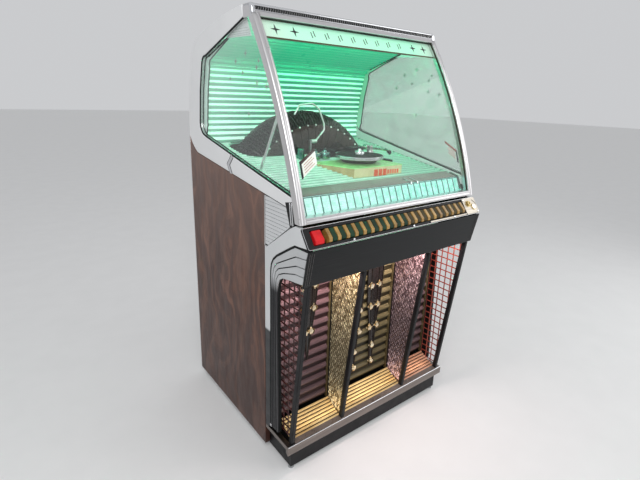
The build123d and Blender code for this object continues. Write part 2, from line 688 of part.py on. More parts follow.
ARM_ELBOW = (168, -118)
ARM_HEAD = (144, -152)
with BuildPart() as tone_arm:
    with BuildSketch(Plane.XY.offset(BASE_TOP_Z + GAP)):
        with Locations((ARM_X, ARM_Y)):
            Circle(15)
            Circle(ARM_PIN_R + RUNNING, mode=Mode.SUBTRACT)
    extrude(amount=STUD_H + 2)
    with BuildSketch(Plane.XY.offset(BASE_TOP_Z + STUD_H + 2)):
        with Locations((ARM_X, ARM_Y)):
            Circle(15)
    extrude(amount=22)
    with BuildSketch(Plane.XY.offset(BASE_TOP_Z + 34)):
        with Locations((ARM_X, ARM_Y)):
            Rectangle(26, 40)
        outline((ARM_X - 5, ARM_Y), (ARM_X + 5, ARM_Y), (ARM_ELBOW[0] + 5, ARM_ELBOW[1] - 2),
                (ARM_HEAD[0], ARM_HEAD[1] - 10), (ARM_HEAD[0] - 7, ARM_HEAD[1]),
                (ARM_ELBOW[0] - 5, ARM_ELBOW[1] + 2))
    extrude(amount=12)
save(tone_arm, "tone_arm")

GRIP_PATH = [(0, 0), (40, 40), (38, 62), (12, 118), (-20, 136), (-74, 130), (-96, 96)]
with BuildPart() as gripper_arm:
    with BuildLine(Plane.XZ.offset(-GRIP_Y)):
        FilletPolyline(*[(GRIP_X + 12 + x, GRIP_Z + z) for x, z in GRIP_PATH], radius=12)
    with BuildSketch(Plane(origin=(GRIP_X + 12, GRIP_Y, GRIP_Z), z_dir=(40, 0, 40))):
        Circle(3.5)
    sweep()
    with BuildSketch(Plane.YZ.offset(GRIP_X - 8)):
        with Locations((GRIP_Y, GRIP_Z)):
            Circle(7)
    extrude(amount=24)
    with BuildSketch(Plane.YZ.offset(GRIP_X - 8)):
        with Locations((GRIP_Y, GRIP_Z)):
            Circle(GRIP_PIN_R + RUNNING)
    extrude(amount=19, mode=Mode.SUBTRACT)
save(gripper_arm, "gripper_arm")

# ---- lid: frame, curved glass, banner, stay --------------------------------------------------
LID_REAR_Y = HINGE_Y + 12
EAR_REACH = 10.5
TOP_RAIL_LOW_Z = 1402
BOTTOM_RAIL_TOP_Z = 880
STAY_PIVOT_Z = 1180
STAY_PIVOT_Y = lid_y(STAY_PIVOT_Z, 20.5)
STAY_R = 4
STAY_X0, STAY_X1 = -361, -358
STAY_GUIDE = (-85, 957)
STAY_LENGTH = 480
STAY_HALF_W = 5
with BuildPart() as lid_frame:
    for rail_x in (-HALF_W, HALF_W - RAIL_W):
        with BuildSketch(Plane.YZ.offset(rail_x)):
            with BuildLine():
                lid_arc(LID_BOTTOM_Z, 1410)
                Line((lid_y(1410), 1410), (lid_y(1410, RAIL_DEPTH), 1410))
                lid_arc(1410, LID_BOTTOM_Z, RAIL_DEPTH)
                Line((lid_y(LID_BOTTOM_Z, RAIL_DEPTH), LID_BOTTOM_Z), (lid_y(LID_BOTTOM_Z), LID_BOTTOM_Z))
            make_face()
        extrude(amount=RAIL_W)
    with BuildSketch(Plane.YZ.offset(-HALF_W)):
        with BuildLine():
            lid_arc(LID_BOTTOM_Z, BOTTOM_RAIL_TOP_Z)
            Line((lid_y(BOTTOM_RAIL_TOP_Z), BOTTOM_RAIL_TOP_Z),
                 (lid_y(BOTTOM_RAIL_TOP_Z, RAIL_DEPTH), BOTTOM_RAIL_TOP_Z))
            lid_arc(BOTTOM_RAIL_TOP_Z, LID_BOTTOM_Z, RAIL_DEPTH)
            Line((lid_y(LID_BOTTOM_Z, RAIL_DEPTH), LID_BOTTOM_Z), (lid_y(LID_BOTTOM_Z), LID_BOTTOM_Z))
        make_face()
    extrude(amount=2 * HALF_W)
    with BuildSketch(Plane.YZ.offset(-HALF_W)):
        with BuildLine():
            lid_arc(TOP_RAIL_LOW_Z, LID_TOP[1])
            Polyline(LID_TOP, (LID_REAR_Y, LID_TOP[1]), (LID_REAR_Y, TOP_RAIL_LOW_Z),
                     (lid_y(TOP_RAIL_LOW_Z), TOP_RAIL_LOW_Z))
        make_face()
    extrude(amount=2 * HALF_W)
    for ear_x in (-HINGE_X, HINGE_X):
        with BuildSketch(Plane.YZ.offset(ear_x - EAR_T / 2 - 1)):
            outline((HINGE_Y - EAR_REACH, TOP_RAIL_LOW_Z - 1), (LID_REAR_Y + 1, TOP_RAIL_LOW_Z - 1),
                    (LID_REAR_Y + 1, TOP_Z), (HINGE_Y - EAR_REACH, TOP_Z))
        extrude(amount=EAR_T + 2, mode=Mode.SUBTRACT)
        with BuildSketch(Plane.YZ.offset(ear_x - EAR_T / 2 - 2)):
            with Locations((HINGE_Y, HINGE_Z)):
                Circle(HINGE_R)
        extrude(amount=EAR_T + 4)
    with BuildSketch(Plane.YZ.offset(-HALF_W + RAIL_W - 2)):
        with Locations((STAY_PIVOT_Y, STAY_PIVOT_Z)):
            Circle(STAY_R)
    extrude(amount=12)
save(lid_frame, "lid_frame")

GLASS_FACE, GLASS_BACK = 8, 12
GLASS_LOW_Z, GLASS_TOP_Z = BOTTOM_RAIL_TOP_Z + GAP, TOP_RAIL_LOW_Z - GAP
with BuildPart() as lid_glass:
    with BuildSketch(Plane.YZ.offset(-HALF_W + RAIL_W + GAP)):
        with BuildLine():
            lid_arc(GLASS_LOW_Z, GLASS_TOP_Z, GLASS_FACE)
            Line((lid_y(GLASS_TOP_Z, GLASS_FACE), GLASS_TOP_Z),
                 (lid_y(GLASS_TOP_Z, GLASS_BACK), GLASS_TOP_Z))
            lid_arc(GLASS_TOP_Z, GLASS_LOW_Z, GLASS_BACK)
            Line((lid_y(GLASS_LOW_Z, GLASS_BACK), GLASS_LOW_Z),
                 (lid_y(GLASS_LOW_Z, GLASS_FACE), GLASS_LOW_Z))
        make_face()
    extrude(amount=2 * (HALF_W - RAIL_W - GAP))
save(lid_glass, "lid_glass")

BANNER_LOW_Z, BANNER_TOP_Z = 1352, 1400
BANNER_HALF = 366
with BuildPart() as banner_panel:
    with BuildSketch(Plane.YZ.offset(-BANNER_HALF)):
        with BuildLine():
            lid_arc(BANNER_LOW_Z, BANNER_TOP_Z, 17)
            Line((lid_y(BANNER_TOP_Z, 17), BANNER_TOP_Z), (lid_y(BANNER_TOP_Z, 20), BANNER_TOP_Z))
            lid_arc(BANNER_TOP_Z, BANNER_LOW_Z, 20)
            Line((lid_y(BANNER_LOW_Z, 20), BANNER_LOW_Z), (lid_y(BANNER_LOW_Z, 17), BANNER_LOW_Z))
        make_face()
    extrude(amount=2 * BANNER_HALF)
save(banner_panel, "banner_panel")

guide_reach = sqrt((STAY_GUIDE[0] - STAY_PIVOT_Y) ** 2 + (STAY_GUIDE[1] - STAY_PIVOT_Z) ** 2)
stay_dir = ((STAY_GUIDE[0] - STAY_PIVOT_Y) / guide_reach, (STAY_GUIDE[1] - STAY_PIVOT_Z) / guide_reach)
side_y, side_z = -stay_dir[1] * STAY_HALF_W, stay_dir[0] * STAY_HALF_W
end_y, end_z = STAY_PIVOT_Y + stay_dir[0] * STAY_LENGTH, STAY_PIVOT_Z + stay_dir[1] * STAY_LENGTH
with BuildPart() as lid_stay:
    with BuildSketch(Plane.YZ.offset(STAY_X0)):
        outline((STAY_PIVOT_Y + side_y, STAY_PIVOT_Z + side_z), (end_y + side_y, end_z + side_z),
                (end_y - side_y, end_z - side_z), (STAY_PIVOT_Y - side_y, STAY_PIVOT_Z - side_z))
        with Locations((STAY_PIVOT_Y, STAY_PIVOT_Z)):
            Circle(7)
            Circle(STAY_R + RUNNING, mode=Mode.SUBTRACT)
    extrude(amount=STAY_X1 - STAY_X0)
save(lid_stay, "lid_stay")
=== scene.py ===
"""The looks of a floor-standing record player cabinet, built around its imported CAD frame.

Shapes are given in millimetres and turned into metres when their mesh is made.
"""
from math import cos, hypot, pi, radians, sin, sqrt
from random import Random

import bmesh
import bpy
from mathutils import Matrix, Vector


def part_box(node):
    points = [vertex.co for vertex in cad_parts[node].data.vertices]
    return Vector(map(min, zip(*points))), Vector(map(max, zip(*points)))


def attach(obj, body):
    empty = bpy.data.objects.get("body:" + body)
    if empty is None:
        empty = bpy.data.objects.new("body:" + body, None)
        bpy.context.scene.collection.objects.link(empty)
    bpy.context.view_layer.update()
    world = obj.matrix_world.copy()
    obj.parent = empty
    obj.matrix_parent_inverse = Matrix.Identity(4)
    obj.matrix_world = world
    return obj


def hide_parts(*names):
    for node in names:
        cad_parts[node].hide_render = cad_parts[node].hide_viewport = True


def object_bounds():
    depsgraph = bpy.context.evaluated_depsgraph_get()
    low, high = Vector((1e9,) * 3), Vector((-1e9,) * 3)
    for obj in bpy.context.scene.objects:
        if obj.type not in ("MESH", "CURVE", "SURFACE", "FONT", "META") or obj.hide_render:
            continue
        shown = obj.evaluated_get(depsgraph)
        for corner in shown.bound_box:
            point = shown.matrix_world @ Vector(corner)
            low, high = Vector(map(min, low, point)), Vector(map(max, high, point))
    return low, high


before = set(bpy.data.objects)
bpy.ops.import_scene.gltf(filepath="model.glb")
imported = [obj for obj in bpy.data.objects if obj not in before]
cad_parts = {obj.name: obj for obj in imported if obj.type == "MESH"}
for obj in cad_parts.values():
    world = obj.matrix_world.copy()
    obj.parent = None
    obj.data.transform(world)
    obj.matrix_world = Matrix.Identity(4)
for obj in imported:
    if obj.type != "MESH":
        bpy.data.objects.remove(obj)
cad_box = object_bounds()
MM = 0.001


def extent(node):
    """Lowest and highest corner of a CAD node, in millimetres."""
    low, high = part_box(node)
    return low / MM, high / MM


# ---- places read from the frame ---------------------------------------------------------------
HALF_W = cad_box[1][0] / MM
PANEL_LOW, PANEL_HIGH = extent("wood_panel_left")
PANEL_FRONT_Y = PANEL_LOW.y
SILL_LOW = extent("base_sill")[0]
TRAY_LOW, TRAY_HIGH = extent("keyboard_tray")
BANNER_LOW, BANNER_HIGH = extent("banner_panel")
DECK_HIGH = extent("mechanism_deck")[1]
RACK_LOW, RACK_HIGH = extent("title_rack")
WHEEL_LOW, WHEEL_HIGH = extent("magazine_wheel")
RECORDS_LOW, RECORDS_HIGH = extent("records")
PLATTER_LOW, PLATTER_HIGH = extent("platter")

WAIST_SLOPE = 0.132
WAIST_Z = 916
LID_POINTS = ((-88, 1437), (-246, 1161), (-350, 862))
RAIL_W, RAIL_DEPTH = 22, 22
SLOPE_MID = (-371.5, 831)
SLOPE_TILT = radians(54.6)
FRONT_PANEL = ((-392, 801), (-369, 690))
GRILLE_FOOT_Y = -298
SILL_Z = 106
BAY_X = 154
BAY_END_X = 361
BAY_TOP_Z = 684
OUTER_BAR_X = 365.5
SIDE_IN_X = -376
DECK_HALF_X = 370
DECK_FRONT = (-290, 924)
DECK_SLOPE = 0.16


def waist_z(y):
    """Height of the joint between body and hood at depth y."""
    return WAIST_Z + WAIST_SLOPE * (y - PANEL_FRONT_Y)


def deck_z(y):
    """Height of the sloping mechanism deck at depth y."""
    return DECK_FRONT[1] + DECK_SLOPE * (y - DECK_FRONT[0])


def grille_y(z):
    """y of the grille bars' front face at height z."""
    top_y = FRONT_PANEL[1][0] + 2
    return GRILLE_FOOT_Y + (top_y - GRILLE_FOOT_Y) * (z - SILL_Z) / (FRONT_PANEL[1][1] - SILL_Z)


def panel_back_y(z):
    """y just behind the black front panel at height z."""
    (top_y, top_z), (low_y, low_z) = FRONT_PANEL
    return low_y + (top_y - low_y) * (z - low_z) / (top_z - low_z) + 6.5


def bay_floor_z(y):
    """Height of the bays' sloping floor at depth y."""
    return SILL_Z + 2 + (y - GRILLE_FOOT_Y) * 0.46


def circle_through(a, b, c):
    """Centre and radius of the circle through three points."""
    (ax, ay), (bx, by), (cx, cy) = a, b, c
    d = 2 * (ax * (by - cy) + bx * (cy - ay) + cx * (ay - by))
    ux = ((ax**2 + ay**2) * (by - cy) + (bx**2 + by**2) * (cy - ay) + (cx**2 + cy**2) * (ay - by)) / d
    uy = ((ax**2 + ay**2) * (cx - bx) + (bx**2 + by**2) * (ax - cx) + (cx**2 + cy**2) * (bx - ax)) / d
    return ux, uy, hypot(ax - ux, ay - uy)


LID_CY, LID_CZ, LID_R = circle_through(*LID_POINTS)


def lid_y(z, inset=0.0):
    """y of the lid's front curve at height z, moved inwards by inset."""
    return LID_CY - sqrt((LID_R - inset) ** 2 - (z - LID_CZ) ** 2)


def arc_through(a, b, c, steps=8):
    """Points along the arc from a over b to c."""
    cy, cz, r = circle_through(a, b, c)
    start = Vector((a[0] - cy, a[1] - cz))
    turn = start.angle_signed(Vector((c[0] - cy, c[1] - cz)))
    points = []
    for n in range(steps + 1):
        t = turn * n / steps
        points.append((cy + start.x * cos(t) + start.y * sin(t), cz - start.x * sin(t) + start.y * cos(t)))
    return points


def offset_line(points, distance):
    """An open line moved sideways, to its right as it is drawn."""
    moved = []
    for n, point in enumerate(points):
        before = Vector(points[max(n - 1, 0)])
        after = Vector(points[min(n + 1, len(points) - 1)])
        here = Vector(point)
        first = (here - before).normalized() if n else (after - here).normalized()
        second = (after - here).normalized() if n < len(points) - 1 else first
        along = (first + second).normalized()
        side = Vector((along.y, -along.x))
        stretch = 1 / max(0.5, side.dot(Vector((first.y, -first.x))))
        moved.append(tuple(here + side * distance * stretch))
    return moved


def slope_point(u, v, n):
    """A point on the keyboard's slope: u along it, v up it and n out of it."""
    rise, run = sin(SLOPE_TILT), cos(SLOPE_TILT)
    return u, SLOPE_MID[0] + v * run - n * rise, SLOPE_MID[1] + v * rise + n * run


# ---- closed solids gathered into one mesh -----------------------------------------------------
def around(sides):
    """Cosine and sine of evenly spaced angles round a circle."""
    return [(cos(2 * pi * i / sides), sin(2 * pi * i / sides)) for i in range(sides)]


class Shape:
    """Vertices in millimetres and faces, filled by the methods below."""

    def __init__(self):
        self.verts = []
        self.faces = []

    def add(self, verts, faces):
        start = len(self.verts)
        self.verts += [tuple(v) for v in verts]
        self.faces += [tuple(start + i for i in face) for face in faces]
        return self

    def loft(self, rings, closed=False):
        """Rings of equal count joined in order, with flat ends unless closed."""
        count = len(rings[0])
        faces = []
        for r in range(len(rings) if closed else len(rings) - 1):
            a, b = r * count, ((r + 1) % len(rings)) * count
            faces += [(a + i, a + (i + 1) % count, b + (i + 1) % count, b + i) for i in range(count)]
        if not closed:
            faces += [tuple(range(count))[::-1], tuple((len(rings) - 1) * count + i for i in range(count))]
        return self.add([v for ring in rings for v in ring], faces)

    def prism_x(self, points, x0, x1):
        """A side-view outline of (y, z) points pulled along X."""
        return self.loft([[(x, y, z) for y, z in points] for x in (x0, x1)])

    def prism_y(self, points, y0, y1):
        """A front-view outline of (x, z) points pulled along Y."""
        return self.loft([[(x, y, z) for x, z in points] for y in (y0, y1)])

    def prism_z(self, points, z0, z1):
        """A plan outline of (x, y) points pulled along Z."""
        return self.loft([[(x, y, z) for x, y in points] for z in (z0, z1)])

    def box(self, low, high):
        return self.prism_z([(low[0], low[1]), (high[0], low[1]), (high[0], high[1]), (low[0], high[1])],
            low[2], high[2])

    def slope_box(self, u, v, n):
        """A box on the keyboard's slope, each range given as (low, high)."""
        corners = [(u[0], v[0]), (u[1], v[0]), (u[1], v[1]), (u[0], v[1])]
        return self.loft([[slope_point(a, b, c) for a, b in corners] for c in n])

    def tube(self, path, radius, sides=10, closed=False):
        """A round bar along a path of 3-D points."""
        points = [Vector(p) for p in path]
        rings = []
        across = None
        for n, point in enumerate(points):
            before = points[n - 1] if n or closed else point
            after = points[(n + 1) % len(points)] if n < len(points) - 1 or closed else point
            along = (after - before).normalized()
            if across is None:
                across = along.orthogonal().normalized()
            across = (across - along * across.dot(along)).normalized()
            other = along.cross(across)
            rings.append([point + (across * c + other * s) * radius for c, s in around(sides)])
        return self.loft(rings, closed)

    def turned(self, profile, origin, axis=(0, 0, 1), sides=32):
        """A turned solid from (radius, height) points along an axis."""
        turn = Vector((0, 0, 1)).rotation_difference(Vector(axis)).to_matrix()
        centre = Vector(origin)
        rings = []
        for radius, height in profile:
            r = max(radius, 0.02)
            rings.append([centre + turn @ Vector((r * c, r * s, height)) for c, s in around(sides)])
        return self.loft(rings)

    def star(self, centre, reach, waist, depth, across=1.0, flat=0.6):
        """A four-pointed star facing -Y with a raised middle."""
        cx, cy, cz = centre
        rim = []
        for n in range(8):
            r = waist if n % 2 else reach
            rim.append((cx + r * across * cos(n * pi / 4), cz + r * sin(n * pi / 4)))
        back = [(x, cy, z) for x, z in rim]
        front = [(x, cy - flat, z) for x, z in rim]
        faces = [tuple(range(8))]
        faces += [(i, (i + 1) % 8, 8 + (i + 1) % 8, 8 + i) for i in range(8)]
        faces += [(8 + i, 8 + (i + 1) % 8, 16) for i in range(8)]
        return self.add(back + front + [(cx, cy - depth, cz)], faces)

    def piece(self, name, finish, slot, body="cabinet", bevel=0.0, smooth=35, replaces=(), both=False):
        """Make the mesh object, shade it and let it ride on a body."""
        verts = self.verts
        faces = self.faces
        if both:
            count = len(verts)
            verts = verts + [(-x, y, z) for x, y, z in verts]
            faces = faces + [tuple(count + i for i in reversed(face)) for face in faces]
        mesh = bpy.data.meshes.new(name)
        mesh.from_pydata([Vector(v) * MM for v in verts], [], faces)
        return make_piece(mesh, name, finish, body, bevel, smooth, replaces)


def make_piece(mesh, name, finish, body, bevel=0.0, smooth=35, replaces=()):
    """Link a mesh as an object with its finish, softened edges and body."""
    work = bmesh.new()
    work.from_mesh(mesh)
    bmesh.ops.recalc_face_normals(work, faces=work.faces)
    work.to_mesh(mesh)
    work.free()
    mesh.materials.append(finish)
    if smooth:
        mesh.shade_smooth()
        mesh.set_sharp_from_angle(angle=radians(smooth))
    thing = bpy.data.objects.new(name, mesh)
    bpy.context.scene.collection.objects.link(thing)
    if bevel:
        soften = thing.modifiers.new("soft_edges", "BEVEL")
        soften.width = bevel * MM
        soften.segments = 2
        soften.limit_method = "ANGLE"
        soften.angle_limit = radians(38)
    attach(thing, body)
    if replaces:
        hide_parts(*replaces)
    return thing


def along_x(name, finish, slot, outline, x0, x1, body="cabinet", **look):
    """A whole piece from one side-view outline pulled along X."""
    return Shape().prism_x(outline, x0, x1).piece(name, finish, slot, body, **look)


def softened(node, name, finish, bevel, body="cabinet", change=None):
    """A copy of a CAD node with rounded edges, and its points moved by change, in millimetres."""
    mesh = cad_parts[node].data.copy()
    mesh.materials.clear()
    work = bmesh.new()
    work.from_mesh(mesh)
    bmesh.ops.remove_doubles(work, verts=work.verts, dist=0.00001)
    bmesh.ops.dissolve_limit(work, angle_limit=radians(0.6), verts=work.verts, edges=work.edges)
    if change:
        for vert in work.verts:
            vert.co = Vector(change(*(vert.co / MM))) * MM
    work.to_mesh(mesh)
    work.free()
    return make_piece(mesh, name, finish, body, bevel, 32, (node,))


def second_finish(thing, finish, marks):
    """Give a second finish to the faces whose mark is true."""
    thing.data.materials.append(finish)
    for face, mark in zip(thing.data.polygons, marks):
        face.material_index = int(mark)


# ---- materials --------------------------------------------------------------------------------
def add_node(tree, kind, inputs, output, **settings):
    """Add a shader node with its inputs set or linked, and give one of its outputs."""
    node = tree.nodes.new("ShaderNode" + kind)
    for setting, choice in settings.items():
        setattr(node, setting, choice)
    for socket, value in inputs.items():
        if isinstance(value, bpy.types.NodeSocket):
            tree.links.new(value, node.inputs[socket])
        else:
            node.inputs[socket].default_value = value
    return node.outputs[output]


class Finish:
    """One material and short calls that add its nodes."""

    def __init__(self, name, color, roughness, metallic=0.0, coat=0.0, shine=0.5):
        self.material = bpy.data.materials.new(name)
        self.material.use_nodes = True
        self.tree = self.material.node_tree
        self.inputs = self.tree.nodes["Principled BSDF"].inputs
        for socket, value in (("Base Color", (*color, 1)), ("Roughness", roughness), ("Metallic", metallic),
                ("Coat Weight", coat), ("Coat Roughness", 0.12), ("Specular IOR Level", shine)):
            self.inputs[socket].default_value = value
        self.place = self.tree.nodes.new("ShaderNodeTexCoord").outputs["Object"]

    def node(self, kind, inputs, output, **settings):
        return add_node(self.tree, kind, inputs, output, **settings)

    def stretched(self, stretch, source=None):
        return self.node("Mapping", {"Scale": stretch, "Vector": source or self.place}, "Vector")

    def noise(self, scale, stretch=(1, 1, 1), detail=4.0, rough=0.55, bend=0.0, source=None, output="Fac"):
        return self.node("TexNoise", {"Scale": scale, "Detail": detail, "Roughness": rough,
            "Distortion": bend, "Vector": self.stretched(stretch, source)}, output)

    def ramp(self, value, *stops):
        ramp = self.tree.nodes.new("ShaderNodeValToRGB")
        elements = ramp.color_ramp.elements
        while len(elements) < len(stops):
            elements.new(0.5)
        for element, (position, color) in zip(elements, stops):
            element.position = position
            element.color = (*color, 1)
        self.tree.links.new(value, ramp.inputs["Fac"])
        return ramp.outputs["Color"]

    def spread(self, value, low, high, out_low=0.0, out_high=1.0):
        return self.node("MapRange", {"Value": value, "From Min": low, "From Max": high, "To Min": out_low,
            "To Max": out_high}, "Result")

    def along(self, axis):
        return self.node("SeparateXYZ", {"Vector": self.place}, axis)

    def blend(self, factor, first, second):
        first, second = [(*tone, 1) if isinstance(tone, tuple) else tone for tone in (first, second)]
        return self.node("Mix", {0: factor, 6: first, 7: second}, 2, data_type="RGBA", blend_type="MIX")

    def color(self, output):
        self.tree.links.new(output, self.inputs["Base Color"])
        return self

    def glow(self, output, strength):
        self.tree.links.new(output, self.inputs["Emission Color"])
        self.inputs["Emission Strength"].default_value = strength
        return self

    def roughness(self, output, low, high):
        self.tree.links.new(self.spread(output, 0.3, 0.7, low, high), self.inputs["Roughness"])
        return self

    def bump(self, output, strength, distance=0.001):
        bump = self.node("Bump", {"Strength": strength, "Distance": distance, "Height": output}, "Normal")
        self.tree.links.new(bump, self.inputs["Normal"])
        return self

    def enamel_surface(self, low=0.34, high=0.52):
        """Uneven gloss and a fine orange peel."""
        self.roughness(self.noise(35), low, high)
        return self.bump(self.noise(900, detail=2), 0.08, 0.0004)


def paint(name, dark, light, rough=0.4, coat=0.0, grain=900, bump=0.08, shine=0.5):
    """Enamel with soft blotches and a fine orange-peel surface."""
    finish = Finish(name, light, rough, 0.0, coat, shine)
    cloud = finish.noise(7, detail=6)
    finish.color(finish.ramp(cloud, (0.32, dark), (0.68, light)))
    finish.roughness(finish.noise(35), rough - 0.07, rough + 0.1)
    finish.bump(finish.noise(grain, detail=2), bump, 0.0004)
    return finish.material


def metal(name, dark, light, rough=0.2, stretch=(1, 1, 1), grain=60, bump=0.03):
    """Metal with a directional grain, smudges and uneven polish."""
    finish = Finish(name, light, rough, 1.0)
    streak = finish.noise(grain, stretch, detail=5)
    finish.color(finish.ramp(streak, (0.3, dark), (0.7, light)))
    finish.roughness(finish.noise(18, detail=1.5), max(0.04, rough - 0.03), rough + 0.03)
    finish.bump(streak, bump, 0.0004)
    return finish.material


def mesh_metal(name, dark, light, glow):
    """Bright anodised mesh with painted glints, painted light at its head and foot and a painted glow."""
    finish = Finish(name, light, 0.24, 0.75)
    # painted glints: bright specks standing for the lamps' reflections on the strands
    painted_glints = finish.noise(120, (1, 1, 0.6), detail=1)
    tone = finish.ramp(painted_glints, (0.43, dark), (0.6, light))
    # painted light at the head and foot of the mesh, painted shade in its middle
    head = finish.spread(finish.along("Z"), 0.38, 0.68, 0.16, 1.0)
    foot = finish.spread(finish.along("Z"), 0.15, 0.26, 1.0, 0.0)
    painted_light_share = finish.node("Math", {0: head, 1: foot}, "Value", operation="MAXIMUM")
    tone = finish.blend(painted_light_share, tuple(0.15 * c for c in light), tone)
    # a painted glow, though the mesh is no lamp
    finish.color(tone).glow(tone, glow)
    finish.bump(finish.noise(150, detail=1), 0.25, 0.001)
    return finish.material


def walnut():
    """Dark figured walnut veneer under satin varnish, its grain upright with swirls."""
    finish = Finish("walnut_veneer", (0.1, 0.04, 0.02), 0.4, coat=0.08, shine=0.3)
    warp = finish.noise(3.4, (1, 1.3, 0.8), 2.5, 0.5, output="Color")
    bent = finish.node("VectorMath", {0: warp, 1: (0.0, 0.42, 0.3), 2: finish.place}, "Vector",
        operation="MULTIPLY_ADD")
    figure = finish.node("TexWave", {"Scale": 3.6, "Distortion": 13.0, "Detail": 7.0, "Detail Scale": 1.6,
        "Detail Roughness": 0.62, "Vector": finish.stretched((1, 1, 0.34), bent)}, "Fac",
        bands_direction="Y")
    tone = finish.ramp(figure, (0.0, (0.088, 0.032, 0.02)), (0.35, (0.122, 0.045, 0.026)),
        (0.7, (0.165, 0.064, 0.036)), (1.0, (0.215, 0.088, 0.05)))
    cloud = finish.noise(5.5, (1, 1, 0.6), detail=8, bend=1.6)
    streak = finish.noise(70, (1, 1, 0.12), detail=6, source=bent)
    pores = finish.noise(420, (1, 1, 0.03), detail=3, source=bent)
    height = finish.along("Z")
    for source, limits, shade in (
            (cloud, (0.38, 0.78, 0.0, 0.85), (0.036, 0.014, 0.012)),
            (streak, (0.42, 0.7, 0.0, 0.5), (0.045, 0.018, 0.012)),
            (pores, (0.35, 0.75, 0.45, 0.0), (0.022, 0.009, 0.006)),
            # painted sheen towards the top of the panel, then painted shade towards its bottom
            (height, (0.55, 1.05, 0.0, 0.35), (0.34, 0.235, 0.2)),
            (height, (0.05, 0.55, 0.5, 0.0), (0.035, 0.014, 0.01))):
        tone = finish.blend(finish.spread(source, *limits), tone, shade)
    finish.color(tone)
    finish.roughness(finish.noise(60, (1, 1, 0.2)), 0.34, 0.5)
    return finish.bump(pores, 0.12, 0.0004).material


def grained_black():
    """Black vinyl with a fine horizontal grain."""
    finish = Finish("grained_black_vinyl", (0.02, 0.02, 0.022), 0.42, shine=0.25)
    streak = finish.noise(300, (0.03, 1, 1), detail=6, rough=0.7)
    finish.color(finish.ramp(streak, (0.35, (0.003, 0.0035, 0.004)), (0.62, (0.01, 0.011, 0.012)),
        (0.78, (0.045, 0.047, 0.05))))
    finish.roughness(streak, 0.38, 0.55)
    finish.bump(streak, 0.2, 0.0004)
    return finish.material


def pane(name, tint, haze, veil=0.02):
    """Clear glass: what is behind it, with a reflection that grows at a glancing angle."""
    material = bpy.data.materials.new(name)
    material.use_nodes = True
    tree = material.node_tree
    tree.nodes.remove(tree.nodes["Principled BSDF"])
    clear = add_node(tree, "BsdfTransparent", {"Color": (*tint, 1)}, "BSDF")
    smudge = add_node(tree, "TexNoise", {"Scale": 9}, "Fac")
    blur = add_node(tree, "MapRange", {"Value": smudge, "To Min": 0.01, "To Max": haze}, "Result")
    gloss = add_node(tree, "BsdfGlossy", {"Color": (0.9, 0.95, 0.93, 1), "Roughness": blur}, "BSDF")
    facing = add_node(tree, "LayerWeight", {"Blend": 0.5}, "Facing")
    steep = add_node(tree, "Math", {0: facing, 1: 4.5}, "Value", operation="POWER")
    edge = add_node(tree, "MapRange", {"Value": steep, "To Min": veil, "To Max": 0.3}, "Result")
    mix = add_node(tree, "MixShader", {0: edge, 1: clear, 2: gloss}, "Shader")
    tree.links.new(mix, tree.nodes["Material Output"].inputs["Surface"])
    return material


def painted_light_rib(name, low, high, strength, rough=0.3):
    """Mint enamel with painted lamp light: a glow, greener towards the top and paler at its left end."""
    finish = Finish(name, high, rough)
    # painted light: greener towards the top of the hood
    height = finish.spread(finish.along("Z"), 1.0, 1.4)
    tone = finish.ramp(height, (0.0, low), (0.55, low), (0.82, high), (1.0, high))
    cloud = finish.noise(9, detail=5)
    tone = finish.blend(finish.spread(cloud, 0.3, 0.7, 0.0, 0.35), tone, high)
    # painted light: paler towards the left end
    painted_pale_end = tuple(0.5 + 0.5 * c for c in low)
    tone = finish.blend(finish.spread(finish.along("X"), -0.36, -0.12, 0.5, 0.0), tone, painted_pale_end)
    finish.color(tone).glow(tone, strength)
    finish.roughness(cloud, rough - 0.05, rough + 0.15)
    finish.bump(finish.noise(140, detail=3), 0.06, 0.0004)
    return finish.material


def footed_enamel(name, dark, light, black, foot_low, foot_high):
    """Warm grey enamel that turns to black at its foot."""
    finish = Finish(name, (0.5, 0.5, 0.5), 0.42)
    grey = finish.ramp(finish.noise(8, detail=6), (0.3, dark), (0.7, light))
    foot = finish.spread(finish.along("Z"), foot_low, foot_high)
    return finish.color(finish.blend(foot, black, grey)).enamel_surface().material


def rib_sheet(name, dark, light, metallic, rough, painted_shade_span=(0.15, 0.66), glow=0.0):
    """Coloured corrugated sheet with fine hatching, painted shade towards its foot and any painted glow."""
    finish = Finish(name, light, rough, metallic)
    cloud = finish.noise(14, (0.4, 1, 1), detail=5)
    hatch = finish.noise(500, (1, 0.05, 0.05), detail=2)
    tone = finish.ramp(cloud, (0.3, dark), (0.7, light))
    tone = finish.blend(finish.spread(hatch, 0.4, 0.7, 0.0, 0.35), tone, dark)
    # painted shade: darker towards the foot
    tone = finish.blend(finish.spread(finish.along("Z"), *painted_shade_span), tuple(0.18 * c for c in light), tone)
    finish.color(tone)
    # painted glow, though the sheet is no lamp
    if glow:
        finish.glow(tone, glow)
    finish.roughness(cloud, rough - 0.08, rough + 0.12)
    finish.bump(hatch, 0.25, 0.0005)
    return finish.material


def plastic(name, dark, light, rough=0.28, coat=0.4, glow=0.0, shine=0.5):
    """Moulded plastic or a gloss print with a mottled tone, and a painted glow where glow is given."""
    finish = Finish(name, light, rough, 0.0, coat, shine)
    tone = finish.ramp(finish.noise(30, detail=4), (0.3, dark), (0.7, light))
    finish.color(tone)
    if glow:
        finish.glow(tone, glow)
    finish.roughness(finish.noise(90), rough - 0.06, rough + 0.12)
    finish.bump(finish.noise(700, detail=2), 0.05, 0.0003)
    return finish.material


def deck_enamel(name, left, right, glow):
    """Mint enamel with painted lamp light: brighter towards its left end, and a painted glow."""
    finish = Finish(name, left, 0.36)
    tone = finish.blend(finish.spread(finish.along("X"), -0.3, 0.26), left, right)
    tone = finish.blend(finish.noise(25, detail=5), tone, tuple(0.8 * c for c in right))
    finish.color(tone).glow(tone, glow)
    finish.bump(finish.noise(300, detail=2), 0.05, 0.0004)
    return finish.material


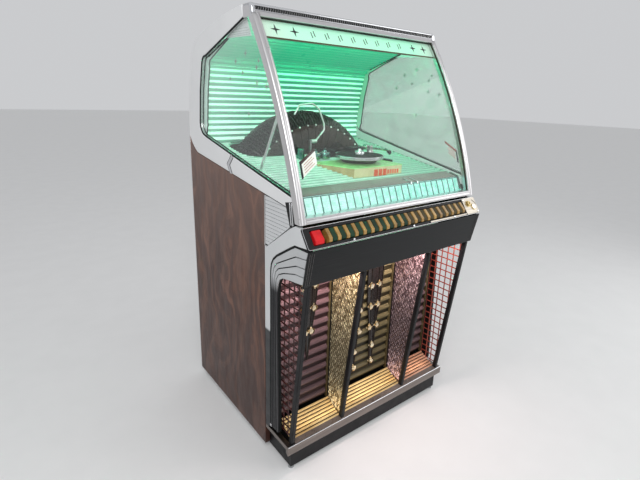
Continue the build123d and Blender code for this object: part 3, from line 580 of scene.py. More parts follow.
WALNUT = walnut()
GREY = paint("hood_enamel", (0.7, 0.705, 0.71), (0.735, 0.74, 0.745))
CASTING = footed_enamel("casting_enamel", (0.54, 0.552, 0.56), (0.58, 0.59, 0.6), (0.018, 0.019, 0.021),
    0.475, 0.483)
BAND = footed_enamel("band_enamel", (0.42, 0.43, 0.44), (0.46, 0.47, 0.475), (0.016, 0.016, 0.018), 0.625,
    0.67)
BLACK = paint("satin_black", (0.005, 0.005, 0.006), (0.012, 0.012, 0.013), 0.45, shine=0.25)
RUBBER = paint("black_rubber", (0.004, 0.005, 0.005), (0.009, 0.01, 0.01), 0.6, grain=600, bump=0.1,
    shine=0.2)
VINYL = grained_black()
CHROME = metal("bright_chrome", (0.74, 0.74, 0.76), (0.8, 0.81, 0.83), 0.17, grain=30, bump=0.001)
SATIN = metal("satin_aluminium", (0.58, 0.57, 0.57), (0.64, 0.63, 0.63), 0.27, (0.05, 1, 1), 240, 0.006)
RAIL = metal("lid_rail_aluminium", (0.7, 0.685, 0.69), (0.74, 0.725, 0.73), 0.3, (1, 0.1, 0.1), 60, 0.001)
BRONZE = metal("dark_bronze", (0.1, 0.07, 0.035), (0.2, 0.15, 0.08), 0.35, (0.05, 1, 1), 200)
STEEL = metal("zinc_steel", (0.3, 0.31, 0.32), (0.48, 0.49, 0.5), 0.38)
DARK_STEEL = metal("browned_steel", (0.045, 0.035, 0.03), (0.1, 0.08, 0.07), 0.42)
# fin meshes with painted glints, painted light at head and foot, painted shade between and a painted glow
GOLD = mesh_metal("gold_anodised", (0.24, 0.17, 0.08), (0.92, 0.78, 0.5), 0.12)
MAUVE = mesh_metal("mauve_anodised", (0.2, 0.12, 0.13), (0.72, 0.52, 0.54), 0.08)
red_bar = Finish("red_lattice_enamel", (0.1, 0.012, 0.01), 0.4)
maroon = red_bar.ramp(red_bar.noise(40), (0.35, (0.02, 0.004, 0.004)), (0.65, (0.05, 0.009, 0.008)))
# painted shade and light: dark maroon towards the left side, a brighter red towards the right
red_bar.color(red_bar.blend(red_bar.spread(red_bar.along("X"), -0.1, 0.1), maroon, (0.24, 0.045, 0.03)))
RED_BAR = red_bar.bump(red_bar.noise(600), 0.06, 0.0004).material
# ribbed sheets with painted shade towards their feet and painted glows; the darker copies are painted shade
# for slat undersides and floor gaps
GOLD_RIB = rib_sheet("gold_rib_sheet", (0.24, 0.19, 0.08), (0.5, 0.41, 0.22), 0.3, 0.4, (0.18, 0.8), 0.08)
GOLD_RIB_PAINTED_SHADE = rib_sheet("gold_rib_painted_shade", (0.02, 0.016, 0.008), (0.07, 0.055, 0.028), 0.1, 0.5)
MAUVE_RIB = rib_sheet("mauve_rib_sheet", (0.22, 0.12, 0.13), (0.44, 0.27, 0.29), 0.2, 0.4, (0.18, 0.8),
    0.06)
MAUVE_RIB_PAINTED_SHADE = rib_sheet("mauve_rib_painted_shade", (0.022, 0.01, 0.011), (0.075, 0.034, 0.036), 0.1, 0.5)
FLOOR_RIB = rib_sheet("gold_floor_sheet", (0.42, 0.26, 0.1), (0.9, 0.68, 0.33), 0.3, 0.35, (0.0, 0.05),
    0.12)
FLOOR_RIB_PAINTED_SHADE = rib_sheet("gold_floor_painted_shade", (0.05, 0.028, 0.01), (0.13, 0.075, 0.028), 0.3, 0.4, (0.0, 0.05))
ROSE_FLOOR = rib_sheet("rose_floor_sheet", (0.34, 0.14, 0.08), (0.7, 0.38, 0.25), 0.3, 0.35, (0.0, 0.05),
    0.1)
BRONZE_EDGE = rib_sheet("bay_edge_gold", (0.12, 0.09, 0.04), (0.4, 0.31, 0.15), 0.6, 0.35, (0.1, 0.75))
PLATE = paint("ornament_black", (0.006, 0.005, 0.005), (0.018, 0.014, 0.013), 0.25, 0.5, shine=0.4)
JEWEL = metal("ornament_jewel", (0.78, 0.6, 0.36), (1.0, 0.88, 0.66), 0.12, grain=20)
# lit and shaded copies of one enamel: painted light for the rib crests, painted shade for the valleys
RIB_CREST_PAINTED_LIGHT = painted_light_rib("rib_crest_painted_light", (0.7, 0.98, 0.86), (0.2, 0.96, 0.62), 0.55)
RIB_VALLEY_PAINTED_SHADE = painted_light_rib("rib_valley_painted_shade", (0.08, 0.33, 0.23), (0.03, 0.54, 0.31), 0.24)
# painted glow on the banner, its tone greener in the middle and greyer at both ends
banner = Finish("banner_painted_glow", (0.75, 0.92, 0.82), 0.35)
banner_tone = banner.ramp(banner.spread(banner.along("X"), -0.37, 0.37), (0.0, (0.56, 0.66, 0.57)),
    (0.16, (0.48, 0.82, 0.64)), (0.85, (0.42, 0.88, 0.64)), (1.0, (0.54, 0.72, 0.6)))
BANNER = banner.color(banner_tone).glow(banner_tone, 0.32).bump(banner.noise(300), 0.03, 0.0003).material
# painted glow on the title cards, whiter towards their left end
paper = Finish("title_paper_painted_glow", (0.5, 0.9, 0.84), 0.5)
paper_tone = paper.ramp(paper.noise(60, detail=5), (0.35, (0.17, 0.6, 0.49)), (0.65, (0.47, 0.86, 0.77)))
paper_painted_light_side = paper.spread(paper.along("X"), -0.34, 0.1)
PAPER = paper.color(paper_tone).glow(paper.blend(paper_painted_light_side, (1.0, 1.0, 1.0), paper_tone), 0.36).material
DIVIDER = plastic("title_divider", (0.05, 0.14, 0.13), (0.1, 0.23, 0.22), 0.4, 0.2)
# deck enamels with painted lamp light: brighter towards the left end, with a painted glow
DECK = deck_enamel("deck_mint_enamel", (0.3, 0.66, 0.5), (0.13, 0.36, 0.26), 0.09)
DECK_RIB = deck_enamel("deck_rib_enamel", (0.84, 1.0, 0.94), (0.29, 0.58, 0.44), 0.26)
# painted glow on the cream enamel
CREAM = plastic("cream_enamel", (0.6, 0.56, 0.3), (0.76, 0.72, 0.42), 0.35, 0.2, 0.03)
TAN = plastic("tan_enamel", (0.42, 0.3, 0.13), (0.62, 0.48, 0.24), 0.4, 0.2)
TEAL = metal("teal_zinc", (0.08, 0.22, 0.19), (0.22, 0.44, 0.38), 0.25)
# painted glow on the lime enamel
LIME = plastic("lime_enamel_painted_glow", (0.26, 0.62, 0.2), (0.42, 0.8, 0.32), 0.3, 0.3, 0.1)
AMBER = plastic("amber_plastic", (0.22, 0.115, 0.025), (0.48, 0.28, 0.07), 0.28, 0.5)
KEY_GREEN = plastic("key_face_green", (0.005, 0.022, 0.011), (0.012, 0.048, 0.022), 0.5, 0.0, shine=0.25)
KEY_OLIVE = plastic("key_face_olive", (0.03, 0.024, 0.008), (0.07, 0.054, 0.02), 0.5, 0.0, shine=0.25)
# painted glow on the red plastic
RED = plastic("red_plastic", (0.4, 0.004, 0.008), (0.62, 0.01, 0.014), 0.35, 0.15, 0.1, shine=0.3)
lamp_glass = Finish("lamp_tube_glass", (0.8, 0.9, 0.85), 0.3)
lamp_tone = lamp_glass.blend(lamp_glass.spread(lamp_glass.along("Z"), 0.78, 0.8), (1.0, 0.8, 0.66),
    (0.55, 1.0, 0.78))
lamp_glass.color(lamp_glass.ramp(lamp_glass.noise(30), (0.3, (0.75, 0.88, 0.8)), (0.7, (0.9, 0.95, 0.92))))
LAMP = lamp_glass.glow(lamp_tone, 1.5).material
VINYL_DISC = plastic("record_vinyl", (0.035, 0.03, 0.028), (0.1, 0.088, 0.08), 0.24, 0.4)
PALE_METAL = metal("pale_polished_tube", (0.78, 0.82, 0.8), (0.92, 0.96, 0.94), 0.3, bump=0.004)
BOARD = paint("rear_fibre_board", (0.105, 0.082, 0.064), (0.132, 0.104, 0.082), 0.75, grain=220, bump=0.5)
WHITE = plastic("white_card", (0.7, 0.68, 0.64), (0.86, 0.84, 0.8), 0.5, 0.1, 0.25)
# painted glow on the white tips
TIP = plastic("white_tip", (0.62, 0.68, 0.64), (0.85, 0.9, 0.86), 0.3, 0.2, 0.1)
BEIGE = metal("beige_plate", (0.44, 0.4, 0.34), (0.62, 0.57, 0.49), 0.32, (0.04, 1, 1), 260)
BRASS = metal("worn_brass", (0.42, 0.3, 0.12), (0.72, 0.56, 0.26), 0.24)
CONE = paint("speaker_cone_paper", (0.02, 0.02, 0.02), (0.05, 0.05, 0.048), 0.8, grain=500, bump=0.5)
FRONT_GLASS = pane("front_glass", (0.975, 0.997, 0.985), 0.05)
SIDE_GLASS = pane("side_glass", (0.985, 0.995, 0.99), 0.05, 0.12)
HAZY_GLASS = pane("right_side_glass", (0.93, 0.97, 0.95), 1.5, 0.24)
# painted glow on the lamp cover, standing for the lamp light through it
LAMP_WHITE = plastic("lamp_cover_white", (0.6, 0.63, 0.63), (0.74, 0.77, 0.77), 0.4, 0.2, 0.12)
GREY_BROWN = paint("grey_brown_enamel", (0.2, 0.195, 0.17), (0.29, 0.28, 0.25), 0.4)
SILL_DARK = paint("sill_ledge_enamel", (0.1, 0.078, 0.066), (0.19, 0.155, 0.135), 0.3)
# painted glows on the title ink and the orange-red ink
FAINT_INK = plastic("faint_title_ink", (0.3, 0.62, 0.58), (0.4, 0.72, 0.68), 0.5, 0.0, 0.3)
ORANGE_INK = plastic("orange_red_ink", (0.62, 0.07, 0.02), (0.8, 0.13, 0.04), 0.4, 0.2, 0.1)
PALE_FLOOR = paint("pale_floor", (0.8, 0.8, 0.795), (0.82, 0.82, 0.815), 0.8, grain=300, shine=0.1)
SILL = metal("sill_aluminium", (0.2, 0.175, 0.16), (0.27, 0.24, 0.22), 0.32, (0.05, 1, 1), 90, 0.002)
PRINT = plastic("frosted_print", (0.36, 0.41, 0.39), (0.46, 0.52, 0.5), 0.6, 0.0)
# painted glow on the pale red ink
PALE_INK = plastic("pale_red_ink", (0.55, 0.3, 0.28), (0.62, 0.36, 0.33), 0.6, 0.0, 0.1)
INK = plastic("grey_ink", (0.05, 0.07, 0.06), (0.1, 0.13, 0.12), 0.5, 0.0)

for finish, nodes in ((BLACK, "base_plinth keyboard_tray grille_bars"),
        (STEEL, "glides amplifier cash_box"), (DARK_STEEL, "platter magazine_wheel tone_arm"),
        (PALE_METAL, "lid_stay gripper_arm"), (SIDE_GLASS, "side_glasses"), (FRONT_GLASS, "lid_glass"),
        (GREY, "hood_roof"), (BOARD, "rear_panel"), (CONE, "speakers"), (LAMP, "lamp_tubes"),
        (DECK, "mechanism_deck"), (BANNER, "banner_panel"), (VINYL_DISC, "records"), (RAIL, "lid_frame"),
        (PAPER, "title_rack"), (CHROME, "lock_cylinder"), (BEIGE, "control_plate"),
        (CREAM, "turntable_base"), (PLATE, "ornament_plates")):
    for node in nodes.split():
        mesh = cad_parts[node].data
        mesh.materials.clear()
        mesh.materials.append(finish)

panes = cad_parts["side_glasses"]
second_finish(panes, HAZY_GLASS, [face.center.x > 0 for face in panes.data.polygons])

# ---- wood panels and their metal edges --------------------------------------------------------
EDGE_T = 4


def trim_wood(x, y, z):
    """Draw the panel back from the metal strips at its rear and bottom edges."""
    return x, min(y, PANEL_HIGH.y - EDGE_T), max(z, PANEL_LOW.z + EDGE_T)


for side in ("left", "right"):
    softened(f"wood_panel_{side}", f"walnut_panel_{side}", WALNUT, 1.2, change=trim_wood)

edges = Shape()
OUT, IN = -HALF_W, -HALF_W + 19
edges.box((OUT, PANEL_HIGH.y - EDGE_T + 0.3, PANEL_LOW.z), (IN, PANEL_HIGH.y, PANEL_HIGH.z - 2))
edges.box((OUT, PANEL_FRONT_Y, PANEL_LOW.z), (IN, PANEL_HIGH.y - EDGE_T, PANEL_LOW.z + EDGE_T - 0.3))
edges.box((OUT, PANEL_FRONT_Y - 4.6, 757), (IN + 6, PANEL_FRONT_Y - 0.4, waist_z(PANEL_FRONT_Y) - 2))
edges.piece("panel_edge_strips", SATIN, "chrome_trim", bevel=0.6, both=True)

# ---- side castings: slatted shoulder, plain cheek, nested bands around the lattice window -----
ARC_1 = [(-381, 802), (-346, 803), (-326, 803), (-306, 792), (-232, 747), (-212, 730), (-200, 710),
    (-196, 686), (-195, 640), (-195, 121)]
ARC_2 = [(-374, 775), (-330, 772), (-310, 762), (-232, 721), (-216, 702), (-208, 676), (-205, 640),
    (-206, 121)]
ARC_3 = [(-368, 747), (-331, 745), (-300, 732), (-240, 707), (-224, 691), (-216, 664), (-213, 630),
    (-216, 121)]
ARC_4 = [(-364, 720), (-328, 719), (-270, 702), (-240, 688), (-226, 667), (-222, 640), (-220, 610),
    (-228, 121)]
ARC_5 = [(-365, 696), (-307, 690), (-262, 682), (-243, 670), (-234, 652), (-231, 630), (-230, 600),
    (-242, 121)]
CREASE_Y = -328
FLARE = 0.1
GROOVE = 3.2


def crease(thing):
    """Cut a side piece along the crease and lean its front part inwards."""
    mesh = thing.data
    work = bmesh.new()
    work.from_mesh(mesh)
    bmesh.ops.bisect_plane(work, geom=work.verts[:] + work.edges[:] + work.faces[:],
        plane_co=(0, CREASE_Y * MM, 0), plane_no=(0, 1, 0))
    for vert in work.verts:
        ahead = CREASE_Y * MM - vert.co.y
        if ahead > 0:
            vert.co.x -= (1 if vert.co.x > 0 else -1) * ahead * FLARE
    work.to_mesh(mesh)
    work.free()


crease(along_x("casting_cheeks", CASTING, "grey_enamel",
    [(-170.5, 757), (-170.5, 752), (-303, 845), (-326, 857), (-344, 856), (-377, 810), (-381, 805)]
    + ARC_1[1:8] + [(-195, 640), (-195, 121), (-184, SILL_Z + 1), (PANEL_FRONT_Y - 1, SILL_Z + 1),
    (PANEL_FRONT_Y - 1, 757)], SIDE_IN_X, -389.4, bevel=1.2,
    replaces=("side_casting_left", "side_casting_right"), both=True))

BAND_FACES = (-389.0, -388.4, -387.8, -387.2)
for number, (outer, inner, face_x) in enumerate(zip((ARC_1, ARC_2, ARC_3, ARC_4),
        (ARC_2, ARC_3, ARC_4, ARC_5), BAND_FACES)):
    ring = Shape()
    ring.prism_x(offset_line(outer, GROOVE if number else 2.2 * GROOVE) + inner[::-1], SIDE_IN_X, face_x)
    crease(ring.piece(f"casting_band_{number + 1}", BAND, "grey_enamel", bevel=1.0, both=True))

slats = Shape()
SLAT_PITCH = 11.4
SLAT_LOW_Z = 758


def shoulder_front_y(z):
    """Front edge of the slatted shoulder at height z."""
    if z < 850:
        return -170 - (z - 752) / (850 - 752) * 134
    if z < waist_z(-312):
        return -304 - (z - 850) * 0.16
    return PANEL_FRONT_Y + (z - WAIST_Z) / WAIST_SLOPE + 6


level = SLAT_LOW_Z + 6
while level < waist_z(-190):
    low, high = level, min(level + SLAT_PITCH - 1.1, waist_z(-190))
    slats.prism_x([(-170.8, low), (shoulder_front_y(low), low), (shoulder_front_y(high), high),
        (-170.8, high)], SIDE_IN_X, -389.3)
    level += SLAT_PITCH
slats.piece("casting_slats", CASTING, "grey_enamel", bevel=0.9, both=True)

crease(along_x("casting_shadow_line", RUBBER, "black_paint",
    offset_line(ARC_1, 0.4) + offset_line(ARC_1, 2.0 * GROOVE)[::-1], SIDE_IN_X, -388.6, both=True))
crease(along_x("casting_backs", RUBBER, "black_paint",
    [(-167, 122), (-167, 914), (-314, 893), (-324, 859), (-342, 855), (-374, 808), (panel_back_y(795), 795),
    (panel_back_y(697), 697)] + offset_line(ARC_5, 1.5)[1:], -373.4, -382, both=True))

along_x("lid_foot_brackets", BLACK, "black_paint",
    [(-277, 914), (lid_y(921, RAIL_DEPTH + 1), 921), (lid_y(890, RAIL_DEPTH + 1), 890), (-322, 855),
    (-302, 848)], -374, -389.6, bevel=1.0, both=True)
bracket = Shape()
for ridge_y in (-297, -306):
    bracket.prism_x([(ridge_y, 917), (ridge_y - 4.4, 918.4), (ridge_y - 13.4, 856), (ridge_y - 9, 855)],
        -386, -389.95)
bracket.piece("lid_foot_bracket_ridges", CHROME, "chrome_trim", bevel=0.4, both=True)

Shape().box((-389, -178, 118), (-374, -204, 128)).piece(
    "sill_end_blocks", CHROME, "chrome_trim", bevel=1.0, both=True)

# ---- hood sides: softened frames, gaskets, joint straps ---------------------------------------
WINDOW = ([(-50, 1405), (79, 1364), (222, 1318)] + arc_through((222, 1318), (247, 1310), (257, 1294))[1:]
    + [(280, 1205), (294, 1093)] + arc_through((294, 1093), (288, 1072), (268, 1052))[1:]
    + [(240, 1044), (-82, 977), (-306, 932)])


def narrowed(x, y, z):
    """Draw the outer face in by the thickness of the trim that lies on it."""
    face = HALF_W - 0.8
    return max(-face, min(face, x)), y, z


for side in ("left", "right"):
    softened(f"hood_side_{side}", f"hood_frame_{side}", GREY, 2.2, change=narrowed)

gasket = Shape()
reveal = Shape()
outer_edge, inner_edge = offset_line(WINDOW, 0.3), offset_line(WINDOW, 5.0)
for x0, x1 in ((-388.4, -385.4), (SIDE_IN_X, -373.2)):
    gasket.loft([[(x0, *a), (x0, *b), (x1, *b), (x1, *a)] for a, b in zip(outer_edge, inner_edge)])
gasket.piece("window_gaskets", RUBBER, "black_paint", both=True)
reveal.loft([[(-385.2, *a), (-385.2, *b), (-376.2, *b), (-376.2, *a)]
    for a, b in zip(outer_edge, offset_line(WINDOW, 3.4))])
reveal.piece("window_reveals", SATIN, "chrome_trim", both=True)

surround = Shape()
INNER_EDGE = offset_line(WINDOW, 36)
TAPER_START, TAPER_END = 1, len(WINDOW) - 4
rings = []
for n in range(TAPER_START, TAPER_END + 1):
    edge = Vector(inner_edge[n])
    share = min(1.0, (n - TAPER_START) / 3, (TAPER_END - n) / 3)
    reach = edge.lerp(Vector(INNER_EDGE[n]), share)
    rings.append([(-373.1, *edge), (-373.1, *reach), (-371.2, *reach), (-371.2, *edge)])
surround.loft(rings)
surround.piece("window_rear_surrounds", DECK_RIB, "black_paint", both=True)
surround = Shape()
surround.tube([ring[2] for ring in rings], 1.4, 8)
surround.tube([ring[1] for ring in rings], 1.4, 8)
surround.piece("window_surround_edges", RUBBER, "black_paint", both=True)

STRAP = [(36, 1003), (66, 972), (46, 942)]
along_x("hood_joint_shadows", BLACK, "black_paint",
    offset_line(STRAP, 9) + offset_line(STRAP, -9)[::-1], -388, -389.5, both=True)
along_x("hood_joint_straps", CHROME, "chrome_trim",
    offset_line(STRAP, 6.4) + offset_line(STRAP, -6.4)[::-1], -388, -389.9, both=True)

along_x("waist_seams", RUBBER, "black_paint",
    [(-300, waist_z(-300) + 1.4), (321, waist_z(321) + 1.4), (321, waist_z(321) - 0.4),
    (-300, waist_z(-300) - 0.4)], SIDE_IN_X, -388, both=True)

prints = Shape()
STARS = [(-162, 1317, 11), (-42, 1310, 9), (-119, 1286, 6), (-107, 1268, 8), (-23, 1257, 6),
    (-108, 1227, 10), (-161, 1217, 11), (-58, 1137, 8), (-200, 1230, 7), (20, 1290, 8), (60, 1240, 7)]
for star_y, star_z, star_r in STARS:
    for ray in range(4):
        across = Vector((cos(ray * pi / 4), sin(ray * pi / 4)))
        wide = Vector((-across.y, across.x)) * 1.3
        tip = across * star_r * (1.7 if ray % 2 == 0 else 1.2)
        middle = Vector((star_y, star_z))
        prints.prism_x([tuple(middle - tip), tuple(middle + wide), tuple(middle + tip),
            tuple(middle - wide)], -377.7, -377.9)
prints.piece("glass_star_prints", PRINT, "clear_glass", both=True, smooth=0)

# ---- lid: rounded bands on the side rails, chrome cap, banner marks ---------------------------
RAIL_STEPS = 30
LID_LOW_Z, LID_TOP_Z = 864, 1412
LID_FOOT_TOP_Z = 880


def rail_band(shape, u0, u1, proud, sunk):
    """A rounded band along the left rail between u0 and u1 from its outer edge."""
    width = u1 - u0
    section = [(0, sunk)]
    for n in range(9):
        swing = n * pi / 8
        section.append(((1 - cos(swing)) / 2 * width,
            0.6 * sunk - (0.6 * sunk + proud) * sin(swing) ** 0.7))
    section.append((width, sunk))
    rings = []
    for step in range(RAIL_STEPS + 1):
        z = LID_LOW_Z + (LID_TOP_Z - LID_LOW_Z) * step / RAIL_STEPS
        rings.append([(-HALF_W + u0 + u, lid_y(z, inset), z) for u, inset in section])
    shape.loft(rings)


softened("lid_frame", "lid_frame_skin", RAIL, 2.0, "lid")
rail_bands = Shape()
rail_band(rail_bands, 0, 13.4, 2.4, 3)
rail_band(rail_bands, 15.0, RAIL_W - 0.4, 2.0, 3)
rail_bands.piece("lid_rail_bands", RAIL, "lid_metal", "lid", smooth=70, both=True)
rail_groove = Shape()
rail_band(rail_groove, 13.3, 15.1, -0.4, 2)
rail_groove.piece("lid_rail_grooves", RUBBER, "black_paint", "lid", both=True)
rail_seal = Shape()
rings = []
for step in range(RAIL_STEPS + 1):
    z = LID_FOOT_TOP_Z + 1 + (1401 - LID_FOOT_TOP_Z) * step / RAIL_STEPS
    rings.append([(-HALF_W + RAIL_W + u, lid_y(z, inset), z)
        for u, inset in ((0.2, 3), (3.4, 5), (3.4, 7.6), (0.2, 7.6))])
rail_seal.loft(rings)
rail_seal.piece("lid_glass_seals", DARK_STEEL, "black_paint", "lid", both=True)

GLASS_HALF = HALF_W - RAIL_W - 0.6
along_x("lid_foot_rail", RAIL, "lid_metal",
    [(lid_y(z) - proud, z) for z, proud in ((865, 0), (865, 1.4), (868, 2.6), (873.4, 2.6), (875, 1.4),
    (875.4, 0.3), (876.2, 0.3), (876.6, 1.6), (878, 2.0), (879.4, 1.2), (879.4, 0))]
    + [(lid_y(872, 6), 872)], -GLASS_HALF, GLASS_HALF, "lid")

CAP_TOP_Z = 1437.6
along_x("lid_head_band", RAIL, "lid_metal",
    [(lid_y(1402), 1402.4), (lid_y(1402) - 2.2, 1403.4), (lid_y(1407) - 3.6, 1407),
    (lid_y(1412) - 3.6, 1412), (lid_y(1416) - 2.2, 1416), (lid_y(1417), 1417)], -GLASS_HALF, GLASS_HALF,
    "lid")
cap = Shape()
cap.prism_x([(-96.5, 1429), (-98.6, 1430.5), (-98.9, 1433), (-96.8, 1436), (-92, CAP_TOP_Z),
    (-66, CAP_TOP_Z), (-66, 1435), (-84, 1434), (-90, 1429)], -381, 381)
cap.prism_x([(-101.6, 1417.4), (-103.2, 1418), (-103.2, 1419.4), (-101, 1420)], -381, 381)
cap.piece("lid_cap_moulding", CHROME, "chrome_trim", "lid", bevel=0.4)
along_x("lid_cap_band", RUBBER, "black_paint",
    [(-100.8, 1418.4), (-96, 1429.6), (-90, 1429.6), (-92, 1418.4)], -380, 380, "lid")
cap = Shape()
HATCH_COUNT, HATCH_STEP = 95, 8
HATCH_ROWS = ((0, -100.6, -98, 1420), (4, -97.4, -95, 1428.4))
for n in range(HATCH_COUNT):
    x = (n - (HATCH_COUNT - 1) / 2) * HATCH_STEP
    cap.loft([[(x + shift - 0.6, front, z), (x + shift + 0.6, front, z), (x + shift + 0.6, rear, z),
        (x + shift - 0.6, rear, z)] for shift, front, rear, z in HATCH_ROWS])
cap.piece("lid_cap_hatching", SATIN, "lid_metal", "lid")
along_x("lid_corner_caps", CHROME, "chrome_trim",
    [(-108, 1399), (-107, 1410), (-104.5, 1424), (-101, 1433), (-93, CAP_TOP_Z), (-56, CAP_TOP_Z),
    (-56, 1430), (-86, 1428), (-94, 1402)], -HALF_W, -379.5, "lid", bevel=1.6, both=True)

strip = Shape()
BRONZE_Z = BANNER_LOW.z - 5
strip.prism_x([(lid_y(BRONZE_Z, 15), BRONZE_Z), (lid_y(BANNER_LOW.z, 15), BANNER_LOW.z),
    (lid_y(BANNER_LOW.z, 20), BANNER_LOW.z), (lid_y(BRONZE_Z, 20), BRONZE_Z)], BANNER_LOW.x, BANNER_HIGH.x)
strip.piece("banner_foot_strip", BRONZE, "dark_plate", "lid", bevel=0.5)
along_x("banner_head_strip", DARK_STEEL, "dark_plate",
    [(lid_y(1398, 13), 1398), (lid_y(1403, 13), 1403), (lid_y(1403, 21), 1403), (lid_y(1398, 21), 1398)],
    BANNER_LOW.x, BANNER_HIGH.x, "lid", bevel=0.5)


def lean_to_banner(shape):
    """Move front-view marks onto the banner's curved face."""
    shape.verts = [(x, y + lid_y(z, 17), z) for x, y, z in shape.verts]


marks = Shape()
for star_x in (-317, -252, 265, 324):
    marks.star((star_x, -0.2, 1375), 15, 3.6, 0.7, across=1.15)
lean_to_banner(marks)
marks.piece("banner_stars", BLACK, "black_paint", "lid", smooth=0)
marks = Shape()
MARK_COUNT = 8
for n in range(MARK_COUNT):
    middle = -184 + n * 54
    for shift, low in ((-6, 1364), (5, 1368)):
        marks.prism_y([(middle + shift - 1.6, low), (middle + shift + 1.6, low),
            (middle + shift + 0.4, low + 17), (middle + shift - 2.4, low + 17)], -0.2, -0.9)
lean_to_banner(marks)
marks.piece("banner_marks", INK, "black_paint", "lid", smooth=0)

along_x("hood_front_strip", GREY, "grey_enamel",
    [(-50.5, 1437.8), (-45, 1437.8), (-45, 1428), (-49.5, 1428)], -372, 372, bevel=0.6)

# ---- lamp cover and ribbed reflector inside the hood ------------------------------------------
along_x("lamp_covers", LAMP_WHITE, "grey_enamel",
    [(-51, 1402), (78, 1362.4), (86, 1360.4), (-76, 1355)], -377.4, -374.4, both=True)
cover = Shape()
for front, rear, z in ((-74, 84, 1361), (-71, 70, 1366), (-66, 52, 1372), (-61, 32, 1379)):
    cover.prism_x([(front, z - 1.6), (rear, z), (rear, z + 1.0), (front, z - 0.6)], -377.4, -377.7)
cover.piece("lamp_cover_lines", PRINT, "grey_enamel", both=True)
reflector_path = [(-38, 1404), (77, 1368), (219, 1321), (252, 1292), (276, 1205), (290, 1093), (289, 1017)]
RIB_PITCH = 20.4
RIB_D = 6


def along_path(path, distance):
    """The point at a distance along a path, with its direction."""
    for a, b in zip(path, path[1:]):
        run = hypot(b[0] - a[0], b[1] - a[1])
        if distance <= run or b == path[-1]:
            unit = ((b[0] - a[0]) / run, (b[1] - a[1]) / run)
            return (a[0] + unit[0] * distance, a[1] + unit[1] * distance), unit
        distance -= run


path_length = sum(hypot(b[0] - a[0], b[1] - a[1]) for a, b in zip(reflector_path, reflector_path[1:]))
STEPS_PER_RIB = 6
ribbed = []
for n in range(int(path_length / RIB_PITCH * STEPS_PER_RIB) + 1):
    (y, z), (uy, uz) = along_path(reflector_path, n * RIB_PITCH / STEPS_PER_RIB)
    rise = RIB_D * abs(sin(pi * n / STEPS_PER_RIB)) ** 1.4
    ribbed.append((y + uz * rise, z - uy * rise))
reflector = Shape()
reflector.loft([[(x, y, z) for y, z in ribbed + [(y + 9, z + 3) for y, z in ribbed[::-1]]]
    for x in (-370.5, 370.5)])
reflector = reflector.piece("reflector_sheet", RIB_CREST_PAINTED_LIGHT, "ribbed_reflector", smooth=50,
    replaces=("reflector",))
# painted shade on the rib faces that turn downwards, painted light on the rest
second_finish(reflector, RIB_VALLEY_PAINTED_SHADE, [face.normal.z < 0.28 for face in reflector.data.polygons])

# ---- deck: ribs along X, grey-brown front ledge ------------------------------------------------
ribs = Shape()
OPEN_MID_X, OPEN_HALF_X, OPEN_CORNER_R = -10, 296, 73
OPEN_MID_Y, OPEN_HALF_Y = 187, 100
RIB_HALF_W = 7


def opening_reach(y):
    """Half width of the deck opening, with its rounded corners, at depth y."""
    off = max(0.0, abs(y - OPEN_MID_Y) - RIB_HALF_W)
    if off > OPEN_HALF_Y:
        return 0.0
    corner = max(0.0, off - (OPEN_HALF_Y - OPEN_CORNER_R))
    return OPEN_HALF_X - OPEN_CORNER_R + sqrt(OPEN_CORNER_R ** 2 - corner ** 2)


y = DECK_FRONT[0] + 60
while y < DECK_HIGH.y - 8:
    reach = opening_reach(y)
    ends = (-DECK_HALF_X, OPEN_MID_X - reach, OPEN_MID_X + reach, DECK_HALF_X)
    spans = (ends[:2], ends[2:]) if reach else (ends[::3],)
    for x0, x1 in spans:
        z = deck_z(y)
        ribs.prism_x([(y - 5.5, z - 1.4), (y - 4.4, z + 1.4), (y - 1.6, z + 3.2), (y + 1.6, z + 3.6),
            (y + 4.4, z + 2.4), (y + 5.5, z + 0.4)], x0, x1)
    y += 20.4
ribs.piece("deck_ribs", DECK_RIB, "deck_mint")
along_x("deck_edge_rails", DECK_RIB, "deck_mint",
    [(-284, deck_z(-284)), (284, deck_z(284)), (284, deck_z(284) + 5), (-284, deck_z(-284) + 5)], -370,
    -354, bevel=0.8, both=True)
rail = Shape()
for n in range(22):
    y = -274 + n * 25
    rail.prism_x([(y, deck_z(y) + 4.6), (y + 11, deck_z(y + 11) + 4.6), (y + 11, deck_z(y + 11) + 6),
        (y, deck_z(y) + 6)], -365, -360)
rail.piece("deck_edge_slots", INK, "black_paint", both=True)
along_x("rack_end_brackets", INK, "black_paint",
    [(-318, 884), (-262, 884), (-262, 938), (-296, 929)], -367, -355, bevel=1.0, both=True)
along_x("deck_front_ledge", GREY_BROWN, "aluminium_plate",
    [(-291, 899), (-291.4, 921), (-293.5, 927.6), (-291, 930), (-240, 939), (-240, 932), (-287, 923),
    (-288, 899)], -353, 353, bevel=0.8)
Shape().tube([(-352, -294.2, 925.6), (352, -294.2, 925.6)], 1.3, 8).piece(
    "deck_ledge_shadow_line", INK, "black_paint")
clips = Shape()
for x in (96, 128):
    clips.prism_x([(-292, 929), (-300, 931), (-301, 929), (-301, 920), (-299, 920), (-299, 928),
        (-292, 931.5), (-262, 937), (-262, 935)], x, x + 7)
clips.piece("rack_clips", CHROME, "chrome_trim", bevel=0.5)

# ---- title strips ------------------------------------------------------------------------------
COLUMNS = 22
FIRST_X, LAST_X = -344, 326
pitch = (LAST_X - FIRST_X) / COLUMNS
RACK_FOOT, RACK_HEAD = (-321, 866), (-296, 926)
rack_run = Vector((RACK_HEAD[0] - RACK_FOOT[0], RACK_HEAD[1] - RACK_FOOT[1])).normalized()


